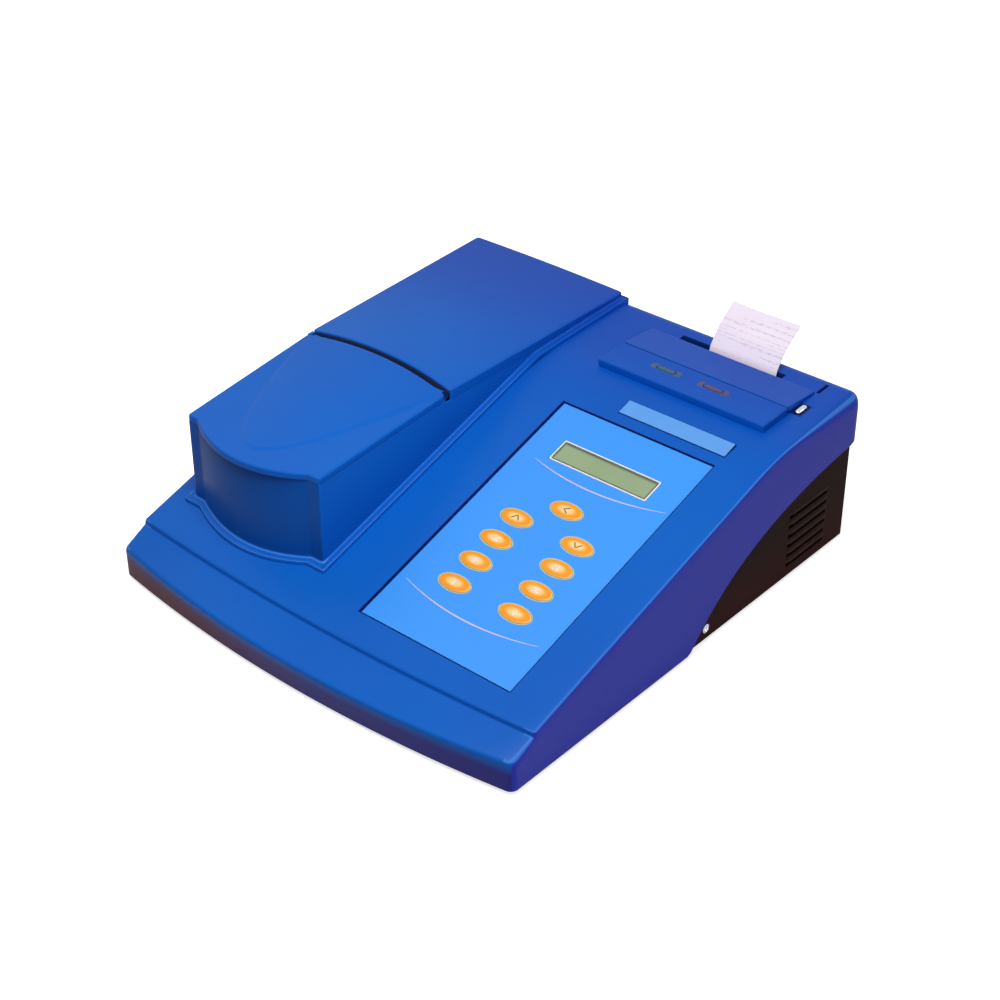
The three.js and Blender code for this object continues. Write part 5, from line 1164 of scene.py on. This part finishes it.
# ---- paper
def paper_line():
    """Side view of the strip, from the roll round the platen and out: y, z and length along it.

    It leaves the roll on the line that touches roll and platen. In each span the heading changes
    evenly, and the sum of short steps along the headings gives the path.
    """
    roll_z, platen_z = skin_z(ROLL_Y) - ROLL_DROP, skin_z(PLATEN_Y) - PLATEN_DROP
    gap = 0.45
    apart = math.hypot(PLATEN_Y - ROLL_Y, platen_z - roll_z)
    angle = math.atan2(platen_z - roll_z, PLATEN_Y - ROLL_Y)
    angle += math.asin((ROLL_RADIUS - PLATEN_RADIUS) / apart)
    off = np.array([math.sin(angle), -math.cos(angle)])
    start = (ROLL_Y, roll_z) + (ROLL_RADIUS + gap) * off
    first = (PLATEN_Y, platen_z) + (PLATEN_RADIUS + gap) * off
    up, lean, low, end = math.pi / 2, math.radians(55), math.radians(36), math.radians(33)
    heading, step = [], []
    for length, a, b, count in (
        (np.linalg.norm(first - start), angle, angle, 6),
        ((PLATEN_RADIUS + gap) * (up - angle), angle, up, 12),
        (19.0, up, up, 4), (7.0, up, lean, 10), (7.0, lean, lean, 4), (7.0, lean, low, 8),
        (17.4, low, end, 10),
    ):
        heading.append(a + (b - a) * ((np.arange(count) + 0.5) / count))
        step.append(np.full(count, length / count))
    heading, step = np.concatenate(heading), np.concatenate(step)
    y, z, along = (np.concatenate([[0], np.cumsum(part)])
                   for part in (step * np.cos(heading), step * np.sin(heading), step))
    return start[0] + y, start[1] + z, along


class METER_OT_paper(bpy.types.Operator):
    """Build the paper strip: a flat profile, curled at its free end, carried along the paper's line"""
    bl_idname = "meter.paper"
    bl_label = "Paper strip"

    def execute(self, context):
        sizes = context.scene.meter_sizes
        y, z, along = paper_line()
        run = np.gradient(np.stack([y, z], axis=1), along, axis=0)
        run /= np.linalg.norm(run, axis=1)[:, None]
        share = np.linspace(-1, 1, 53)[None]
        free = np.clip((along - along[-1] + 30) / 30, 0, 1)[:, None] ** 2
        curl = mm(sizes.paper_curl) * free * share ** 2 + 0.25 * free * np.sin(share * 4)
        torn = np.zeros_like(curl)
        torn[-1] = np.where(np.arange(53) % 2, 0.45, -0.45)
        x = (PAPER_X[0] + PAPER_X[1]) / 2 + (PAPER_X[1] - PAPER_X[0]) / 2 * share
        front, back = (level(x, y[:, None] + run[:, :1] * torn - run[:, 1:] * (curl + offset),
                             z[:, None] + run[:, 1:] * torn + run[:, :1] * (curl + offset))
                       for offset in (PAPER_HALF, -PAPER_HALF))
        sheets = [
            sheet(np.concatenate([front, back[:, ::-1]], axis=1), columns=True),
            sheet(np.stack([back[0], front[0]])),
            sheet(np.stack([front[-1], back[-1]])),
        ]
        add_piece("paper_web", sheets, "paper", replaces=["paper_strip"], sharp=60)
        return {"FINISHED"}


# ---- tray, feet and rear
def hood_sheets(reach):
    """Vent hoods: over each vent a sheet that swells outward by a sine down and in from its ends."""
    u, v = np.meshgrid(np.linspace(0, 1, 29), np.linspace(0, 1, 9))
    y = VENT_Y[0] - HOOD_SIDE + (VENT_Y[1] - VENT_Y[0] + 2 * HOOD_SIDE) * u
    ends = np.clip(np.minimum(u, 1 - u) * 9, 0, 1)
    bulge = reach * np.sin(ends * math.pi / 2) * np.sin(v * math.pi / 2) ** 0.8
    sheets = []
    for side in (-1, 1):
        for row in range(VENTS):
            z = VENT_Z + row * VENT_PITCH + VENT_HEIGHT + HOOD_TOP - HOOD_TOP * v
            grid = level(side * (SIDE_X + 0.02 + bulge), y, z)
            sheets.append(sheet(grid[:, ::-side]))
    return sheets


def screw_sheets():
    """Side screws: a flat dome, the root of 1 - share^2, with a cross sunk into it by a steep bell."""
    share = np.array([0.0, 0.08, 0.16, 0.24, 0.32, 0.4, 0.5, 0.65, 0.8, 0.92, 1.0, 1.0])
    a, b = circles(SCREW_RADIUS * share, 48)
    share = share[:, None]
    cross = np.exp(-(np.minimum(np.abs(a), np.abs(b)) / 0.42) ** 4) * (share < 0.55)
    out = SCREW_RISE * np.sqrt(1 - (share * 0.86) ** 2) - 0.7 * cross
    out[-1] = 0.0
    return [sheet(level(side * (SIDE_X + 0.3 + out), SCREW_Y + a, SCREW_Z + b)[::-side], columns=True)
            for side in (-1, 1)]


def middle_of(node):
    """Middle of a solid's box in the drawing's own frame."""
    low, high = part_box(node)
    return (np.array(low) + np.array(high)) * 500 - SHIFT


class METER_OT_tray(bpy.types.Operator):
    """Build the vent hoods, side screws and feet of the tray"""
    bl_idname = "meter.tray"
    bl_label = "Tray fittings"

    def execute(self, context):
        sizes = context.scene.meter_sizes
        hoods = add_piece("vent_hoods", hood_sheets(mm(sizes.vent_reach)), "louvre",
                          sharp=60)
        thicken(hoods, 0.0004)
        add_piece("side_screws", screw_sheets(), "chrome",
                  replaces=["side_screw_left", "side_screw_right"], sharp=40)
        # A foot is a stack of circles: a tapered pad with a ring round its hollow
        a, b = circles([0, 4.6, 5.0, 6.6, 7.4, 7.9, 8.8, 9.0, 9.0, 0], 40)
        z = np.array([-2.6, -2.6, -3.3, -3.3, -3.1, -2.6, -1.1, -0.7, -0.3, -0.3])[:, None]
        for name in ("foot_front_left", "foot_front_right", "foot_rear_left", "foot_rear_right"):
            x, y, _ = middle_of(name)
            add_piece(name + "_pad", [sheet(level(x + a, y + b, z), columns=True)], "rubber",
                      replaces=[name], sharp=45)
        return {"FINISHED"}


class METER_OT_rear(bpy.types.Operator):
    """Build the pins of the serial port: two rows of small rods that stand in its shell"""
    bl_idname = "meter.rear"
    bl_label = "Rear fittings"

    def execute(self, context):
        x, _, z = middle_of("serial_port")
        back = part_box("serial_port")[1].y * 1000 - SHIFT[1]
        y = back + np.array([0.5, 0.3, -0.5, -0.5])[:, None]
        a, b = circles([0, 0.5, 0.5, 0], 10)
        pins = [sheet(level(x + (i - (count - 1) / 2) * PIN_PITCH + a, y, z + lift + b), columns=True)
                for count, lift in PIN_ROWS for i in range(count)]
        add_piece("port_pins", pins, "gold", sharp=50)
        return {"FINISHED"}


# ---- solids that are shown as they are
CARRIED = {
    "overlay": ["membrane_overlay"],
    "strip": ["name_strip"],
    "white": ["paper_spindle"],
    "glass": ["display_window"],
    "black": ["display_module", "paper_tub", "print_head_frame", "power_inlet", "power_switch_body",
              "power_rocker", "fuse_holder", "fuse_cap", "well_plate", "cell_holder",
              "detector_through", "detector_scatter"],
    "board": ["keypad_board", "main_board"],
    "plated": ["lid_pin_left", "lid_pin_right", "printer_pin_left", "printer_pin_right",
               "serial_port", "lamp_base", "transformer_core"],
    "rubber": ["lid_gasket", "platen_roller"],
    "steel": ["base_chassis"],
    "aluminium": ["lamp_housing"],
    "glass clear": ["lamp_bulb", "lamp_lens"],
    "coil": ["transformer_coil"],
    "paper": ["paper_roll"],
}


class METER_OT_nodes(bpy.types.Operator):
    """Give the carried-over solids their finishes"""
    bl_idname = "meter.nodes"
    bl_label = "Finish the solids"

    def execute(self, context):
        for name, nodes in CARRIED.items():
            for node in nodes:
                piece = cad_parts[node]
                piece.data.materials.clear()
                piece.data.materials.append(finish(name))
        return {"FINISHED"}


# ---- stage
WHITE = (1, 1, 1, 1)
AIM = Vector((0, 0, 0.05))
LAMPS = (  # name, place, size, power, lights matt surfaces, shows in gloss
    ("key light", (0.14, -0.28, 0.80), 0.5, 5.1, True, True),
    ("right light", (1.2, -0.15, 0.45), 0.5, 2.0, True, True),
    ("left light", (-1.1, 0.2, 1.0), 0.9, 1.2, True, True),
    ("edge light", (0.85, 1.0, 0.9), 0.3, 1.6, False, True),
    ("rear light", (-0.4, 1.3, 0.35), 0.8, 3.5, True, False),
)


def set_down(thing, place, target):
    """Puts a camera or lamp in its place and turns it to its target."""
    thing.location = place
    thing.rotation_euler = (target - Vector(place)).to_track_quat("-Z", "Y").to_euler()


def looked_at(tree):
    """Value that is 1 where the camera, a mirror or glass looks straight at the backdrop."""
    path = add_node(tree, "LightPath", {}).outputs
    seen = calculate(tree, "MAXIMUM", path["Is Camera Ray"], path["Is Glossy Ray"])
    return calculate(tree, "MAXIMUM", seen, path["Is Transmission Ray"])


def by_camera(tree, operation, *values):
    """Value worked out from 1 where the camera looks and 0 elsewhere."""
    return calculate(tree, operation, add_node(tree, "LightPath", {}).outputs["Is Camera Ray"], *values)


def add_world(scene):
    """Dim even light on the object, and white where the backdrop is looked at."""
    scene.world = bpy.data.worlds.new("studio")
    scene.world.use_nodes = True
    tree = scene.world.node_tree
    dim = tree.nodes["Background"]
    wire(tree, dim, {"Color": WHITE, "Strength": 0.2})
    strength = by_camera(tree, "MULTIPLY_ADD", 0.2, 0.8)
    white = add_node(tree, "Background", {"Color": WHITE, "Strength": strength})
    shaders = {0: looked_at(tree), 1: dim.outputs[0], 2: white.outputs[0]}
    chosen = add_node(tree, "MixShader", shaders).outputs[0]
    wire(tree, tree.nodes["World Output"], {"Surface": chosen})


def add_floor():
    """Level floor, grey for the light and white for the camera, which still sees the shadow on it."""
    side = np.linspace(-3, 3, 7)
    points = level(side[None], side[:, None], 0.0).reshape(-1, 3)
    faces = cells(np.arange(49).reshape(7, 7), False, False).reshape(-1, 4)
    mesh = bpy.data.meshes.new("floor")
    mesh.from_pydata(points.tolist(), [], faces.tolist())
    material = bpy.data.materials.new("pale floor")
    material.use_nodes = True
    tree = material.node_tree
    wire(tree, tree.nodes["Principled BSDF"], {
        "Base Color": mixed(tree, looked_at(tree), (0.34, 0.34, 0.35, 1), WHITE),
        "Roughness": 0.9,
        "Specular IOR Level": 0.1,
        "Emission Color": WHITE,
        "Emission Strength": by_camera(tree, "MULTIPLY", 0.72),
    })
    mesh.materials.append(material)
    return add_object("floor", mesh)


class METER_OT_stage(bpy.types.Operator):
    """Add the floor, the lamps and the camera"""
    bl_idname = "meter.stage"
    bl_label = "Stage"

    def execute(self, context):
        scene = context.scene
        scene.view_settings.view_transform = "Standard"
        lens = bpy.data.cameras.new("camera")
        lens.lens, lens.sensor_width, lens.clip_end = 73.13, 36, 50
        camera = add_object("camera", lens)
        set_down(camera, (0.7074, -0.8101, 0.7511), Vector((0.0237, -0.0164, 0.0633)))
        scene.camera = camera
        add_world(scene)
        for name, place, size, power, matt, gloss in LAMPS:
            lamp = bpy.data.lights.new(name, "AREA")
            lamp.shape, lamp.size, lamp.energy = "DISK", size, power
            stand = add_object(name, lamp)
            stand.visible_diffuse, stand.visible_glossy = matt, gloss
            set_down(stand, place, AIM)
        floor = add_floor()
        return {"FINISHED"}


OPERATORS = (
    METER_OT_stage, METER_OT_cover, METER_OT_housing, METER_OT_lid, METER_OT_printer, METER_OT_keypad,
    METER_OT_paper, METER_OT_tray, METER_OT_rear, METER_OT_nodes,
)


class METER_PT_panel(bpy.types.Panel):
    """Lists the meter's operators, sizes and colours"""
    bl_idname = "METER_PT_panel"
    bl_label = "Turbidity meter"
    bl_space_type = "VIEW_3D"
    bl_region_type = "UI"
    bl_category = "Meter"

    def draw(self, context):
        for operator in OPERATORS:
            self.layout.operator(operator.bl_idname)
        for group in (context.scene.meter_sizes, context.scene.meter_colours):
            for name in group.__annotations__:
                self.layout.prop(group, name)


CLASSES = (Sizes, Colours, *OPERATORS, METER_PT_panel)


def register():
    for item in CLASSES:
        bpy.utils.register_class(item)
    bpy.types.Scene.meter_sizes = PointerProperty(type=Sizes)
    bpy.types.Scene.meter_colours = PointerProperty(type=Colours)


def unregister():
    del bpy.types.Scene.meter_colours
    del bpy.types.Scene.meter_sizes
    for item in reversed(CLASSES):
        bpy.utils.unregister_class(item)


def main():
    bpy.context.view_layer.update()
    register()
    for operator in OPERATORS:
        group, name = operator.bl_idname.split(".")
        getattr(getattr(bpy.ops, group), name)()


if __name__ == "__main__":
    main()
